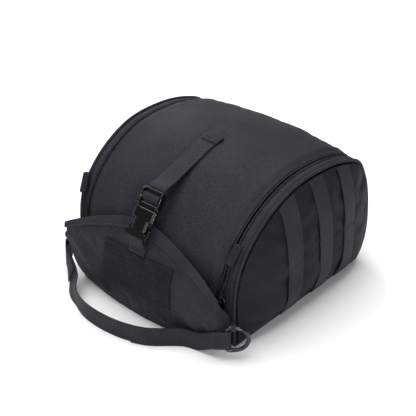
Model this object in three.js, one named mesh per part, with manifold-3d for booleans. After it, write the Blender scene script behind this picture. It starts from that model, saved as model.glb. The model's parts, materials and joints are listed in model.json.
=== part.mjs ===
// A soft helmet bag: an arched padded shell with domed ends, a long two-way zip round both rims,
// a bulging front pocket held by a buckled strap, three webbing bands on each end and a hand strap
// between two D-rings. Millimetres, +Z up. The origin is the middle of the base, on the floor.
// X runs across the bag, the pocket faces -Y, and the floor is Z = 0.
import * as THREE from "three";
import { mergeVertices } from "three/addons/utils/BufferGeometryUtils.js";
import Module from "manifold-3d";

const wasm = await Module();
wasm.setup();

// Driving dimensions of the body
const bodyWidth = 250; // seam to seam at the base
const bodyDepth = 266; // front seam to back seam at the base
const bodyHeight = 181; // floor to the highest point of a rim
const panelCrown = 11.5; // rise of the top panel over its rims
const crownHeight = 90; // height at which the crown is full
const endFlare = 6.5; // how far each rim leans out at the top
const endBulge = 19; // how far each end stands out in the middle
const wall = 4.5; // padded cloth
const clearance = 0.3; // between neighbouring pieces
const basePadding = 4;
const domeCentre = 0.42; // middle of an end's bulge, as a share of the height
const domePower = 2.6; // the bulge is flatter in the middle as this grows

// Seams and zips
const pipingRadius = 2;
const pipingLift = 3.2; // centre of the piping above the floor
const gussetWidth = 9.5;
const zipWidth = 7;
const zipThickness = 2;
const zipSink = 0.8; // depth of the zip under the panels beside it
const zipEndHeight = 62; // front end of each zip above the floor
const rearZipHeight = 46; // zip across the back

// Front pocket
const pocketOverhang = 2; // of its front corners past the end seams
const pocketDepth = 36;
const pocketDrop = 54; // middle of the hem under the top of the rims
const hemDip = 46; // of the hem's corners under its middle
const pocketSeam = 50; // hem height where the side of the pocket meets the rim
const pocketCloth = 2;
const pocketTuck = 3; // how far its sides are drawn in
const hemThickness = 1.4;
const hemLift = 0.5;
const patchWidth = 110;
const patchHeight = 53;
const patchMiddle = 66; // height of the patch's centre
const patchThickness = 1.8;
const patchLift = 1; // gap under the patch, whose flat cells span the bends of the cloth

// Webbing
const webbingWidth = 25;
const webbingThickness = 1.5;
const bandLift = 1.2; // gap under a side band
const anchorAlong = -30; // Y of the strap's sewn end on the top
const anchorLength = 14;
const anchorMargin = 0.5; // of the tab past each edge of the strap
const lowerSewn = 6; // length of the lower webbing's sewn ends
const lowerGap = 2; // from the patch up to them

// Buckle, in its own frame: Y up the strap, Z away from the bag, origin in the middle of its length
const buckleForward = 15; // its centre, in front of the front seam
const buckleDrop = 39; // its centre, under the top of the rims
const buckleTilt = 56; // degrees from the floor
const buckleWidth = 33;
const frameLength = 24; // the plug's ladder frame
const frameThickness = 4;
const frameCorner = 3;
const barWidth = 3;
const barThickness = 4; // of the socket's loop
const socketLength = 34;
const socketThickness = 9;
const socketSlot = 6.5; // length of the slot that the lower webbing turns in
const windowDepth = 5; // of the socket's side windows
const windowCorner = 2;
const prongLength = 20;
const prongThickness = 3.6;
const prongWidth = 4;
const prongInset = 3; // from the buckle's side
const hookReach = 3;
const slotHeight = 26.5; // opening across the webbing
const slotCorner = 1;
const tailLength = 12; // of the upper strap's end past the frame
const turnLead = 0.8; // middle of the lower webbing's turn past the bar's
const hookFrom = 0.3; // on each prong, as shares of its length from its tip: the hook's widest point,
const hookTo = 0.45; // the end of its outer side
const hookNeck = 0.5; // and the end of its back
const windowShare = 0.62; // of a prong's length that shows in its window
const windowMiddle = 0.75; // of a prong's length down to the window's middle

// Rings and hand strap
const ringWire = 2; // radius
const ringHeight = 32; // wire centre to wire centre along the straight bar
const ringReach = 25; // wire centre to wire centre from the bar to the round side
const ringTurn = 48; // degrees that each ring turns outwards from the line to the back
const rightRingMiddle = 28.5; // height of the right ring's centre
const leftRingMiddle = 36;
const rightRingOut = 7; // from the end seam to the ring's straight bar
const leftRingOut = 11;
const ringForward = 22; // from the front seam to the straight bar
const keeperRoot = 7; // the middle of the keeper's end, out from the end seam
const keeperWidth = 6;
const turnFrom = -50; // degrees round the bar at which the strap's outer layer arrives
const turnTo = 150;
const turnLeadOut = 1.7; // from the bar to where both layers meet, in radii of the turn
const strapRise = 0.14; // share of the strap over which it rises to each ring
const strapOverlap = 0.46; // share of the strap that its sewn-back end covers
const strapLean = 28; // degrees that the strap leans to the bag where it leans most
const leanMiddle = 0.86; // share of the strap at which it leans most
const leanReach = 0.13; // share over which it comes upright again, to each side

// Zip pulls
const sliderLength = 15;
const sliderWidth = 10;
const sliderBody = 2.6;
const sliderEye = 3; // room under the bridge
const bridgeWall = 1;
const bridgeWidth = 2.6;
const bridgeShare = 0.72; // of the slider's length
const sliderCorner = 3;
const pullRingRadius = 5.2;
const pullRingWire = 0.9;
const pullCord = 1.1; // radius
const cordSpread = 1.9; // of each strand from the middle, at the grip
const loopSpread = 2.7; // and halfway
const loopSlack = 1; // between the cord and the ring's wire
const pullLoopLength = 32;
const leftPullLean = 0.2; // outwards for each millimetre up
const rightPullLean = 0;
const gripLength = 34;
const gripWidth = 9;
const gripThickness = 6;

// Rim line seen from the side: shares of half the depth and of the height, front foot to back foot
const archTable = [
  { along: -1.0, up: 0 },
  { along: -1.02, up: 0.18 },
  { along: -1.035, up: 0.384 },
  { along: -0.977, up: 0.616 },
  { along: -0.747, up: 0.829 },
  { along: -0.351, up: 0.982 },
  { along: 0.135, up: 1.0 },
  { along: 0.49, up: 0.945 },
  { along: 0.69, up: 0.876 },
  { along: 0.81, up: 0.745 },
  { along: 0.9, up: 0.565 },
  { along: 0.955, up: 0.3 },
  { along: 0.945, up: 0.18 },
  { along: 0.9, up: 0.08 },
  { along: 0.83, up: 0.02 },
  { along: 0.76, up: 0.002 },
];

// Pocket face at shares of the hem's height: its half width in shares of the pocket's, and how far
// it stands out from the front seam at its corners and in the middle, in shares of its depth
const pocketTable = [
  { up: 0, wide: 0.865, left: 0.5, middle: 0.86, right: 0.3 },
  { up: 0.12, wide: 0.9, left: 0.62, middle: 0.98, right: 0.42 },
  { up: 0.35, wide: 0.945, left: 0.8, middle: 1.05, right: 0.66 },
  { up: 0.55, wide: 0.972, left: 0.87, middle: 1.03, right: 0.83 },
  { up: 0.74, wide: 0.988, left: 0.93, middle: 0.87, right: 0.93 },
  { up: 0.915, wide: 1, left: 0.93, middle: 0.54, right: 0.93 },
  { up: 1, wide: 1, left: 0.9, middle: 0.32, right: 0.9 },
];

// Side bands: Y of the front edge at the top and at the bottom, in shares of half the depth
const bandTable = [
  { top: -0.53, bottom: -0.44 },
  { top: -0.13, bottom: 0.02 },
  { top: 0.28, bottom: 0.38 },
];

// Hand strap seen from above, right to left between its rings: across in shares of half the width,
// forward in shares of the pocket's depth past the front seam
const handleTable = [
  { across: 1.01, forward: 0.83 },
  { across: 0.92, forward: 0.86 },
  { across: 0.8, forward: 0.9 },
  { across: 0.64, forward: 1.02 },
  { across: 0.33, forward: 1.86 },
  { across: 0, forward: 2.2 },
  { across: -0.4, forward: 2.16 },
  { across: -0.68, forward: 1.72 },
  { across: -0.86, forward: 1.19 },
  { across: -0.95, forward: 1.01 },
  { across: -1.03, forward: 0.88 },
];

// Materials
const cloth = (name, colour, roughness) => {
  const made = new THREE.MeshStandardMaterial({ color: colour, roughness, metalness: 0 });
  made.name = name;
  return made;
};
const nylon = cloth("woven_nylon", 0x1b1c1f, 0.85);
const webbingNylon = cloth("webbing_nylon", 0x26272b, 0.7);
const loopPile = cloth("loop_pile", 0x141416, 0.95);
const zipNylon = cloth("zip_tape", 0x101113, 0.6);
const acetal = cloth("buckle_plastic", 0x0d0d0f, 0.3);
const gripRubber = cloth("grip_rubber", 0x1a1a1d, 0.6);
const gunmetal = new THREE.MeshStandardMaterial({ color: 0x4a4c50, roughness: 0.3, metalness: 1 });
gunmetal.name = "gunmetal";

const bag = new THREE.Group();
bag.name = "tactical_helmet_bag";

function add(name, geometry, material, place) {
  const mesh = new THREE.Mesh(geometry, material);
  mesh.name = name;
  if (place) mesh.applyMatrix4(place);
  bag.add(mesh);
  return mesh;
}

// Closed surfaces from rows of points

// A closed mesh from quads given as four points each; a quad with two equal corners is a triangle.
function fromQuads(quads) {
  const corners = [];
  for (const [a, b, c, d] of quads) corners.push(a, b, c, a, c, d);
  const raw = new THREE.BufferGeometry().setFromPoints(corners);
  const merged = mergeVertices(raw, 1e-4);
  const index = merged.index.array;
  const kept = [];
  for (let i = 0; i < index.length; i += 3) {
    const [a, b, c] = index.slice(i, i + 3);
    if (a !== b && b !== c && a !== c) kept.push(a, b, c);
  }
  merged.setIndex(kept);
  return merged;
}

// A sheet with two faces: outer[i][j] and inner[i][j], joined along its four edges.
function slab(outer, inner) {
  const rows = outer.length - 1;
  const columns = outer[0].length - 1;
  const quads = [];
  for (let i = 0; i < rows; i++)
    for (let j = 0; j < columns; j++) {
      quads.push([outer[i][j], outer[i + 1][j], outer[i + 1][j + 1], outer[i][j + 1]]);
      quads.push([inner[i][j], inner[i][j + 1], inner[i + 1][j + 1], inner[i + 1][j]]);
    }
  for (let i = 0; i < rows; i++) {
    quads.push([outer[i][0], inner[i][0], inner[i + 1][0], outer[i + 1][0]]);
    quads.push([outer[i + 1][columns], inner[i + 1][columns], inner[i][columns], outer[i][columns]]);
  }
  for (let j = 0; j < columns; j++) {
    quads.push([outer[0][j + 1], inner[0][j + 1], inner[0][j], outer[0][j]]);
    quads.push([outer[rows][j], inner[rows][j], inner[rows][j + 1], outer[rows][j + 1]]);
  }
  return outwards(fromQuads(quads));
}

// Turns a closed mesh round where its faces point inwards.
function outwards(geometry) {
  const position = geometry.attributes.position;
  const index = Array.from(geometry.index.array);
  const point = (k) => new THREE.Vector3().fromBufferAttribute(position, index[k]);
  let volume = 0;
  for (let i = 0; i < index.length; i += 3)
    volume += point(i).dot(point(i + 1).cross(point(i + 2)));
  if (volume < 0)
    for (let i = 0; i < index.length; i += 3) [index[i], index[i + 1]] = [index[i + 1], index[i]];
  geometry.setIndex(index);
  return geometry;
}

const grid = (rows, columns, point) =>
  Array.from({ length: rows + 1 }, (_, i) =>
    Array.from({ length: columns + 1 }, (_, j) => point(i / rows, j / columns)),
  );

// Moves every point of a grid of points along the grid's own normal.
function lifted(points, distance) {
  const last = points.length - 1;
  const end = points[0].length - 1;
  return points.map((row, i) =>
    row.map((point, j) => {
      const along = points[Math.min(i + 1, last)][j].clone().sub(points[Math.max(i - 1, 0)][j]);
      const across = row[Math.min(j + 1, end)].clone().sub(row[Math.max(j - 1, 0)]);
      return point.clone().addScaledVector(along.cross(across).normalize(), distance);
    }),
  );
}

// A tube of the given radius round a closed curve.
function closedTube(curve, radius, sides, steps) {
  const frames = curve.computeFrenetFrames(steps, true);
  const ring = (i) =>
    Array.from({ length: sides + 1 }, (_, j) => {
      const angle = ((j % sides) / sides) * 2 * Math.PI;
      return curve
        .getPointAt((i % steps) / steps)
        .addScaledVector(frames.normals[i % steps], radius * Math.cos(angle))
        .addScaledVector(frames.binormals[i % steps], radius * Math.sin(angle));
    });
  const rings = Array.from({ length: steps + 1 }, (_, i) => ring(i));
  const quads = [];
  for (let i = 0; i < steps; i++)
    for (let j = 0; j < sides; j++)
      quads.push([rings[i][j], rings[i + 1][j], rings[i + 1][j + 1], rings[i][j + 1]]);
  return outwards(fromQuads(quads));
}

// A band of webbing whose middle line lies in a plane and whose width is along the other direction.
// line holds the points of the middle line, widthways the unit direction of its width, or one for
// each point.
function ribbon(line, widthways, width, thickness) {
  const across = Array.isArray(widthways) ? widthways : line.map(() => widthways);
  const normals = line.map((_, i) => {
    const tangent = line[Math.min(i + 1, line.length - 1)].clone().sub(line[Math.max(i - 1, 0)]);
    return tangent.cross(across[i]).normalize();
  });
  const face = (side) =>
    line.map((point, i) =>
      [-1, 1].map((end) =>
        point
          .clone()
          .addScaledVector(normals[i], (side * thickness) / 2)
          .addScaledVector(across[i], (end * width) / 2),
      ),
    );
  return slab(face(1), face(-1));
}

function smooth(points, steps, tension = "centripetal") {
  return new THREE.CatmullRomCurve3(points, false, tension).getSpacedPoints(steps);
}

// Solids for cuts and joins

function solidOf(geometry) {
  const bare = geometry.index ? geometry.toNonIndexed() : geometry.clone();
  bare.deleteAttribute("normal");
  bare.deleteAttribute("uv");
  const merged = mergeVertices(bare, 1e-4);
  return new wasm.Manifold(
    new wasm.Mesh({
      numProp: 3,
      vertProperties: merged.attributes.position.array,
      triVerts: new Uint32Array(merged.index.array),
    }),
  );
}

function geometryOf(solid) {
  const mesh = solid.getMesh();
  const made = new THREE.BufferGeometry();
  made.setAttribute("position", new THREE.BufferAttribute(mesh.vertProperties, 3));
  made.setIndex(new THREE.BufferAttribute(mesh.triVerts, 1));
  return made;
}

// A rounded rectangle of the given size round a centre, as an outline to extrude.
function roundedOutline(width, length, radius, centreX = 0, centreY = 0) {
  const x = width / 2 - radius;
  const y = length / 2 - radius;
  const outline = new THREE.Shape();
  outline.absarc(centreX + x, centreY + y, radius, 0, Math.PI / 2);
  outline.absarc(centreX - x, centreY + y, radius, Math.PI / 2, Math.PI);
  outline.absarc(centreX - x, centreY - y, radius, Math.PI, 1.5 * Math.PI);
  outline.absarc(centreX + x, centreY - y, radius, 1.5 * Math.PI, 2 * Math.PI);
  return outline;
}

// An outline in X and Y made a plate that is centred on Z = level.
function plate(outline, thickness, curveSegments = 3, level = 0) {
  const made = new THREE.ExtrudeGeometry(outline, {
    depth: thickness,
    bevelEnabled: false,
    curveSegments,
  });
  return made.translate(0, 0, level - thickness / 2);
}

// The arched skin

const halfDepth = bodyDepth / 2;
const pocketHalfWidth = bodyWidth / 2 + pocketOverhang;
const pocketPeak = bodyHeight - pocketDrop;
const arch = new THREE.CatmullRomCurve3(
  archTable.map(({ along, up }) => new THREE.Vector3(0, along * halfDepth, up * bodyHeight)),
  false,
  "centripetal",
);
arch.arcLengthDivisions = 600;

const halfWidthAt = (height) => bodyWidth / 2 + (endFlare * height) / bodyHeight;

// A point of the arched skin: a share of the rim's length, a distance across from the middle, and
// a height over the outer face. The skin swells along the rim's normal by the crown, which falls
// with the square of the share across.
function skinPoint(station, across, lift) {
  const rim = arch.getPointAt(station);
  const tangent = arch.getTangentAt(station);
  const share = across / halfWidthAt(rim.z);
  const rise = panelCrown * (1 - share * share) * Math.min(1, rim.z / crownHeight) + lift;
  return new THREE.Vector3(across, rim.y - tangent.z * rise, rim.z + tangent.y * rise);
}

// The share of the rim's length at which it reaches a height, between two shares that enclose it.
function stationWhere(low, high, reached) {
  let [before, after] = [low, high];
  for (let i = 0; i < 40; i++) {
    const middle = (before + after) / 2;
    if (reached(arch.getPointAt(middle))) after = middle;
    else before = middle;
  }
  return after;
}
const highest = stationWhere(0.2, 0.8, (p) => p.y > archTable[6].along * halfDepth);
const frontStation = (height) => stationWhere(0, highest, (p) => p.z > height);
const backStation = (height) => stationWhere(highest, 1, (p) => p.z < height);
const alongStation = (along) => stationWhere(0.05, 0.95, (p) => p.y > along);

const zipFront = frontStation(zipEndHeight);
const zipBack = backStation(rearZipHeight);
const archLength = arch.getLength();
const zipShare = zipWidth / archLength;
const gapShare = clearance / archLength;

// Distances from the rim seam, inwards across the skin
const gussetFrom = pipingRadius + clearance;
const gussetTo = gussetFrom + gussetWidth;
const zipFrom = gussetTo + clearance;
const zipTo = zipFrom + zipWidth;
const lidFrom = zipTo + clearance;

// A strip of the skin between two shares of the rim's length. edges gives the two distances from
// the middle at a height, and tread the lift of its outer face.
function skinStrip(from, to, steps, columns, edges, tread, thickness) {
  const face = (lift) =>
    grid(steps, columns, (i, j) => {
      const station = from + (to - from) * i;
      const [near, far] = edges(arch.getPointAt(station).z);
      return skinPoint(station, near + (far - near) * j, lift);
    });
  return slab(face(tread), face(tread - thickness));
}

function buildSkin() {
  const rearZip = zipBack + gapShare;
  const rearFrom = rearZip + zipShare + gapShare;
  const between = (from, to, side) => (height) =>
    [side * (halfWidthAt(height) - from), side * (halfWidthAt(height) - to)];
  const across = (from) => (height) => [from - halfWidthAt(height), halfWidthAt(height) - from];
  const lid = skinStrip(zipFront, zipBack, 32, 8, across(lidFrom), 0, wall);
  add("lid_panel", lid, nylon);
  const front = skinStrip(0, zipFront - gapShare, 4, 8, across(zipFrom), 0, wall);
  add("front_panel", front, nylon);
  add("rear_panel", skinStrip(rearFrom, 1, 8, 6, across(zipFrom), 0, wall), nylon);
  const tape = [across(zipFrom), -zipSink, zipThickness];
  add("zip_rear", skinStrip(rearZip, rearZip + zipShare, 1, 6, ...tape), zipNylon);
  for (const [word, side] of [["left", -1], ["right", 1]]) {
    const gusset = between(gussetFrom, gussetTo, side);
    add("gusset_" + word, skinStrip(0, 1, 32, 1, gusset, 0, wall), nylon);
    const zip = between(zipFrom, zipTo, side);
    const coil = skinStrip(zipFront, zipBack, 32, 1, zip, -zipSink, zipThickness);
    add("zip_" + word, coil, zipNylon);
  }
}

// The domed ends

// The rim line as a closed outline in Y and Z: the arch, then back along the floor.
function endOutline(archSteps, floorSteps, inset) {
  const points = [];
  const from = frontStation(pipingLift + inset);
  const to = backStation(pipingLift + inset);
  for (let i = 0; i <= archSteps; i++) {
    const station = from + ((to - from) * i) / archSteps;
    const p = arch.getPointAt(station);
    const t = arch.getTangentAt(station);
    points.push(new THREE.Vector2(p.y + t.z * inset, p.z - t.y * inset));
  }
  const [first, last] = [points[0], points[points.length - 1]];
  for (let i = 1; i < floorSteps; i++) points.push(last.clone().lerp(first, i / floorSteps));
  return points;
}

const endCentre = new THREE.Vector2(0, domeCentre * bodyHeight);
const domeOutline = endOutline(60, 20, 0);

// 0 in the middle of an end and 1 on its outline: the distance from the middle over the distance
// to the outline along the same ray.
function domeShare(y, z) {
  const to = new THREE.Vector2(y, z).sub(endCentre);
  const length = to.length();
  if (length < 1e-6) return 0;
  const unit = to.clone().divideScalar(length);
  let reach = Infinity;
  domeOutline.forEach((a, i) => {
    const b = domeOutline[(i + 1) % domeOutline.length];
    const edge = b.clone().sub(a);
    const turn = unit.cross(edge);
    if (Math.abs(turn) < 1e-9) return;
    const from = a.clone().sub(endCentre);
    const distance = from.cross(edge) / turn;
    const share = from.cross(unit) / turn;
    if (distance > 0 && share >= -1e-6 && share <= 1 + 1e-6) reach = Math.min(reach, distance);
  });
  return Math.min(1, length / reach);
}

// A point of an end's outer face: it stands out by the bulge, less a power of the share.
function endPoint(side, y, z, lift) {
  const bulge = endBulge * (1 - domeShare(y, z) ** domePower);
  return new THREE.Vector3(side * (halfWidthAt(z) + pipingRadius + bulge + lift), y, z);
}

function domedEnd(side) {
  const outline = endOutline(28, 10, gussetFrom + 2 * clearance);
  const shares = [1, 0.93, 0.8, 0.6, 0.35];
  const sheet = (lift) =>
    shares.map((share) =>
      outline.map((p) => {
        const q = p.clone().sub(endCentre).multiplyScalar(share).add(endCentre);
        return endPoint(side, q.x, q.y, lift);
      }),
    );
  const [outer, inner] = [sheet(0), sheet(-wall)];
  const [outerMiddle, innerMiddle] = [0, -wall].map((lift) =>
    endPoint(side, endCentre.x, endCentre.y, lift),
  );
  const quads = [];
  outline.forEach((_, j) => {
    const k = (j + 1) % outline.length;
    for (let i = 0; i + 1 < shares.length; i++) {
      quads.push([outer[i][j], outer[i + 1][j], outer[i + 1][k], outer[i][k]]);
      quads.push([inner[i][k], inner[i + 1][k], inner[i + 1][j], inner[i][j]]);
    }
    const core = shares.length - 1;
    quads.push([outer[core][j], outerMiddle, outer[core][k], outer[core][k]]);
    quads.push([inner[core][k], innerMiddle, inner[core][j], inner[core][j]]);
    quads.push([outer[0][j], outer[0][k], inner[0][k], inner[0][j]]);
  });
  return outwards(fromQuads(quads));
}

function piping(side) {
  const points = endOutline(34, 8, 0).map(
    (p) => new THREE.Vector3(side * halfWidthAt(p.y), p.x, p.y),
  );
  const curve = new THREE.CatmullRomCurve3(points, true, "centripetal");
  return closedTube(curve, pipingRadius, 6, 44);
}

// A band of webbing up an end, from seam to seam.
function sideBand(side, top, bottom) {
  const margin = 3 * pipingRadius;
  const edge = (offset) => {
    const foot = new THREE.Vector2(bottom * halfDepth + offset, pipingLift + margin);
    const headAlong = top * halfDepth + offset;
    const rim = arch.getPointAt(alongStation(headAlong));
    const head = new THREE.Vector2(headAlong, rim.z - margin);
    return (share) => foot.clone().lerp(head, share);
  };
  const edges = [edge(0), edge(webbingWidth / 2), edge(webbingWidth)];
  const face = (lift) =>
    grid(9, 2, (i, j) => {
      const p = edges[Math.round(2 * j)](i);
      return endPoint(side, p.x, p.y, lift);
    });
  return slab(face(bandLift + webbingThickness), face(bandLift));
}

function buildEnds() {
  for (const [word, side] of [["left", -1], ["right", 1]]) {
    add("side_panel_" + word, domedEnd(side), nylon);
    add("piping_" + word, piping(side), nylon);
    bandTable.forEach(({ top, bottom }, i) =>
      add("side_band_" + word + "_" + (i + 1), sideBand(side, top, bottom), webbingNylon),
    );
  }
}

// A flat padded floor between the walls
function buildBase() {
  const front = -halfDepth + wall + clearance;
  const foot = skinPoint(1, 0, -wall);
  const back = foot.y - wall;
  const width = bodyWidth - 2 * gussetFrom;
  const outline = roundedOutline(width, back - front, wall, 0, (back + front) / 2);
  add("base_panel", plate(outline, basePadding, 3, basePadding / 2), nylon);
}

// Front pocket

// Reads a column of the pocket's table at a share of the height, in straight lines.
function pocketShare(column, share) {
  const up = Math.min(1, share);
  const next = Math.max(1, pocketTable.findIndex((row) => row.up >= up - 1e-9));
  const [a, b] = [pocketTable[next - 1], pocketTable[next]];
  return THREE.MathUtils.lerp(a[column], b[column], (up - a.up) / (b.up - a.up));
}

// The hem falls from its peak with the power 2.25 of the share across.
const hemFall = 2.25;
const hemHeight = (across) => pocketPeak - hemDip * Math.abs(across) ** hemFall;

// A point of the pocket's face: share across from -1 to 1 and share of the hem's height there. How
// far it stands out goes from the middle's column to the corner's with the square of the share.
function pocketPoint(across, up) {
  const middle = pocketShare("middle", up);
  const corner = pocketShare(across < 0 ? "left" : "right", up);
  const out = middle + (corner - middle) * across * across;
  return new THREE.Vector3(
    across * pocketHalfWidth * pocketShare("wide", up),
    -halfDepth - pocketDepth * out,
    up * hemHeight(across),
  );
}

// The point of the pocket's face at an X and a height. The share across is settled in three steps.
function pocketFace(x, height) {
  let share = x / pocketHalfWidth;
  for (let i = 0; i < 3; i++)
    share = x / (pocketHalfWidth * pocketShare("wide", height / hemHeight(share)));
  return pocketPoint(share, height / hemHeight(share));
}

// The side of the pocket, from its front corner (0) back to the rim seam (1), drawn in a little.
function pocketSide(side, back, up) {
  const corner = pocketPoint(side, up);
  const rim = arch.getPointAt(frontStation(up * pocketSeam));
  const seam = new THREE.Vector3(
    side * (bodyWidth / 2 - pipingRadius / 2),
    rim.y - pipingRadius - clearance - pocketCloth,
    up * pocketSeam,
  );
  const point = corner.lerp(seam, back);
  point.x -= side * pocketTuck * Math.sin(Math.PI * back) * up;
  return point;
}

function buildPocket() {
  const columns = [];
  const folds = [0.33, 0.66, 1];
  for (const back of folds.toReversed()) columns.push((up) => pocketSide(-1, back, up));
  const faceSteps = 20;
  for (let i = 0; i <= faceSteps; i++) {
    const across = -1 + (2 * i) / faceSteps;
    columns.push((up) => pocketPoint(across, up));
  }
  for (const back of folds) columns.push((up) => pocketSide(1, back, up));
  const outer = pocketTable.map(({ up }) => columns.map((column) => column(up)));
  const inner = lifted(outer, pocketCloth);
  inner[0].forEach((point) => point.setZ(0));
  add("front_pocket", slab(outer, inner), nylon);

  const hemFrom = pocketTable[pocketTable.length - 2].up;
  const hem = grid(1, faceSteps, (i, j) => pocketPoint(-1 + 2 * j, hemFrom + (1 - hemFrom) * i));
  const hemFace = hemLift + hemThickness;
  add("pocket_hem", slab(lifted(hem, -hemFace), lifted(hem, -hemLift)), nylon);

  const patch = grid(4, 8, (i, j) =>
    pocketFace(patchWidth * (j - 0.5), patchMiddle + patchHeight * (i - 0.5)),
  );
  const patchFace = patchLift + patchThickness;
  add("loop_patch", slab(lifted(patch, -patchFace), lifted(patch, -patchLift)), loopPile);

  // The floor stops short of the pocket's cloth all round.
  const floorShare = 0.92;
  const floorSteps = 16;
  const front = Array.from({ length: floorSteps + 1 }, (_, i) =>
    pocketPoint(floorShare * ((2 * i) / floorSteps - 1), 0),
  );
  const seam = -halfDepth - 3 * clearance;
  const floor = new THREE.Shape(
    front.map((p) => new THREE.Vector2(p.x, Math.min(p.y + 2 * pocketCloth, seam))),
  );
  floor.lineTo(front[floorSteps].x, seam);
  floor.lineTo(front[0].x, seam);
  add("pocket_floor", plate(floor, pocketCloth, 1, pocketCloth / 2 + clearance), nylon);
}

// Buckle and its two straps

const buckleAngle = THREE.MathUtils.degToRad(buckleTilt);
const buckleFrame = new THREE.Matrix4()
  .makeRotationX(buckleAngle)
  .setPosition(0, -halfDepth - buckleForward, bodyHeight - buckleDrop);
const buckleHalf = (frameLength + socketLength) / 2;
const frameFoot = buckleHalf - frameLength; // where the plug's frame meets the socket
const socketFoot = frameFoot - socketLength;
const slotLength = (frameLength - 4 * barWidth) / 2;

// A prong of the plug runs down beside the webbing and ends in a hook. grow widens it for its slot.
function prong(side, grow) {
  const inner = side * (buckleWidth / 2 - prongInset - prongWidth - grow);
  const outer = side * (buckleWidth / 2 - prongInset + grow);
  const hook = outer + side * hookReach;
  const foot = frameFoot - prongLength;
  const outline = new THREE.Shape();
  outline.moveTo(inner, frameFoot + barWidth);
  outline.lineTo(inner, foot - grow);
  outline.lineTo(outer, foot - grow);
  outline.lineTo(hook, foot + prongLength * hookFrom);
  outline.lineTo(hook, foot + prongLength * hookTo + grow);
  outline.lineTo(outer, foot + prongLength * hookNeck + grow);
  outline.lineTo(outer, frameFoot + barWidth);
  return solidOf(plate(outline, prongThickness + 2 * grow));
}

function bucklePlug() {
  const middle = frameFoot + frameLength / 2;
  const frame = roundedOutline(buckleWidth, frameLength, frameCorner, 0, middle);
  const firstSlot = frameFoot + 2 * barWidth + slotLength / 2;
  for (const centre of [firstSlot, firstSlot + slotLength + barWidth])
    frame.holes.push(roundedOutline(slotHeight, slotLength, slotCorner, 0, centre));
  let plug = solidOf(plate(frame, frameThickness));
  for (const side of [-1, 1]) plug = plug.add(prong(side, 0));
  return geometryOf(plug);
}

function buckleSocket() {
  const length = socketLength - clearance;
  const middle = socketFoot + length / 2;
  const body = roundedOutline(buckleWidth, length, frameCorner, 0, middle);
  const slotMiddle = socketFoot + barWidth + socketSlot / 2;
  body.holes.push(roundedOutline(slotHeight, socketSlot, slotCorner, 0, slotMiddle));
  let socket = solidOf(plate(body, socketThickness));
  for (const face of [-1, 1]) {
    const foot = 2 * (barWidth + socketSlot);
    const thinned = roundedOutline(2 * buckleWidth, foot, slotCorner, 0, socketFoot);
    const level = (face * (barThickness + socketThickness)) / 2;
    socket = socket.subtract(solidOf(plate(thinned, socketThickness, 3, level)));
  }
  for (const side of [-1, 1]) {
    socket = socket.subtract(prong(side, 2 * clearance));
    const edge = (side * buckleWidth) / 2;
    const middle = frameFoot - prongLength * windowMiddle;
    const opening = [2 * windowDepth, prongLength * windowShare, windowCorner, edge, middle];
    socket = socket.subtract(solidOf(plate(roundedOutline(...opening), 2 * socketThickness)));
  }
  return geometryOf(socket);
}

// A point of the buckle's own frame, in its middle plane, as a point of the bag.
const atBuckle = (up, out) => new THREE.Vector3(0, up, out).applyMatrix4(buckleFrame);
const sideways = new THREE.Vector3(1, 0, 0);
const webbingLayer = webbingThickness + clearance;

// The upper strap is sewn down under the anchor tab, runs straight to the plug, winds round its
// crossbar and ends under itself.
function upperStrap() {
  const under = -(frameThickness + webbingThickness) / 2 - clearance;
  const over = -under + clearance;
  const crossbar = frameFoot + 2 * barWidth + slotLength + barWidth / 2;
  const lowSlot = crossbar - (barWidth + slotLength) / 2;
  const highSlot = crossbar + (barWidth + slotLength) / 2;
  const sewn = clearance + webbingThickness / 2;
  const leaves = onTop(-anchorLength, sewn + 3 * clearance);
  const arrives = atBuckle(buckleHalf + barWidth, under - webbingLayer);
  const straight = [0, 0.25, 0.5, 0.75, 1].map((share) => leaves.clone().lerp(arrives, share));
  const line = [
    onTop(anchorLength / 2, sewn),
    onTop(0, sewn),
    onTop(-anchorLength / 2, sewn),
    ...straight,
    atBuckle(crossbar + barWidth / 3, under - webbingLayer),
    atBuckle(lowSlot, under - webbingLayer * 0.4),
    atBuckle(lowSlot, 0),
    atBuckle(crossbar - 0.8 * barWidth, over),
    atBuckle(crossbar + 0.8 * barWidth, over),
    atBuckle(highSlot, 0),
    atBuckle(highSlot + slotLength / 3, under + clearance),
    atBuckle(buckleHalf + barWidth, under),
    atBuckle(buckleHalf + tailLength, under + 4 * clearance),
  ];
  return ribbon(smooth(line, 54), sideways, webbingWidth, webbingThickness);
}

// The lower webbing is folded round the socket's bar, and both ends are sewn to the pocket.
function lowerWebbing() {
  const bar = socketFoot + barWidth / 2;
  const turn = (barThickness + webbingThickness) / 2 + clearance;
  const seat = patchLift + webbingThickness / 2;
  const sewn = patchMiddle + patchHeight / 2 + lowerGap;
  const onPocket = (height, lift) => pocketFace(0, height).sub(new THREE.Vector3(0, lift, 0));
  const halfTurn = [-90, -45, 0, 45, 90].map((degrees) => {
    const angle = THREE.MathUtils.degToRad(degrees);
    return atBuckle(bar + turnLead + turn * Math.cos(angle), turn * Math.sin(angle));
  });
  const fold = [
    onPocket(sewn, seat),
    onPocket(sewn + lowerSewn, seat),
    atBuckle(bar - barThickness, -turn),
    ...halfTurn,
    atBuckle(bar - barThickness, turn),
    onPocket(sewn + lowerSewn, seat + webbingLayer),
    onPocket(sewn, seat + webbingLayer),
  ];
  return ribbon(smooth(fold, 44), sideways, webbingWidth, webbingThickness);
}

// A point over the middle of the top, at a distance along it from the strap's sewn end.
function onTop(distance, lift) {
  return skinPoint(alongStation(anchorAlong) + distance / archLength, 0, lift);
}

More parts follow.
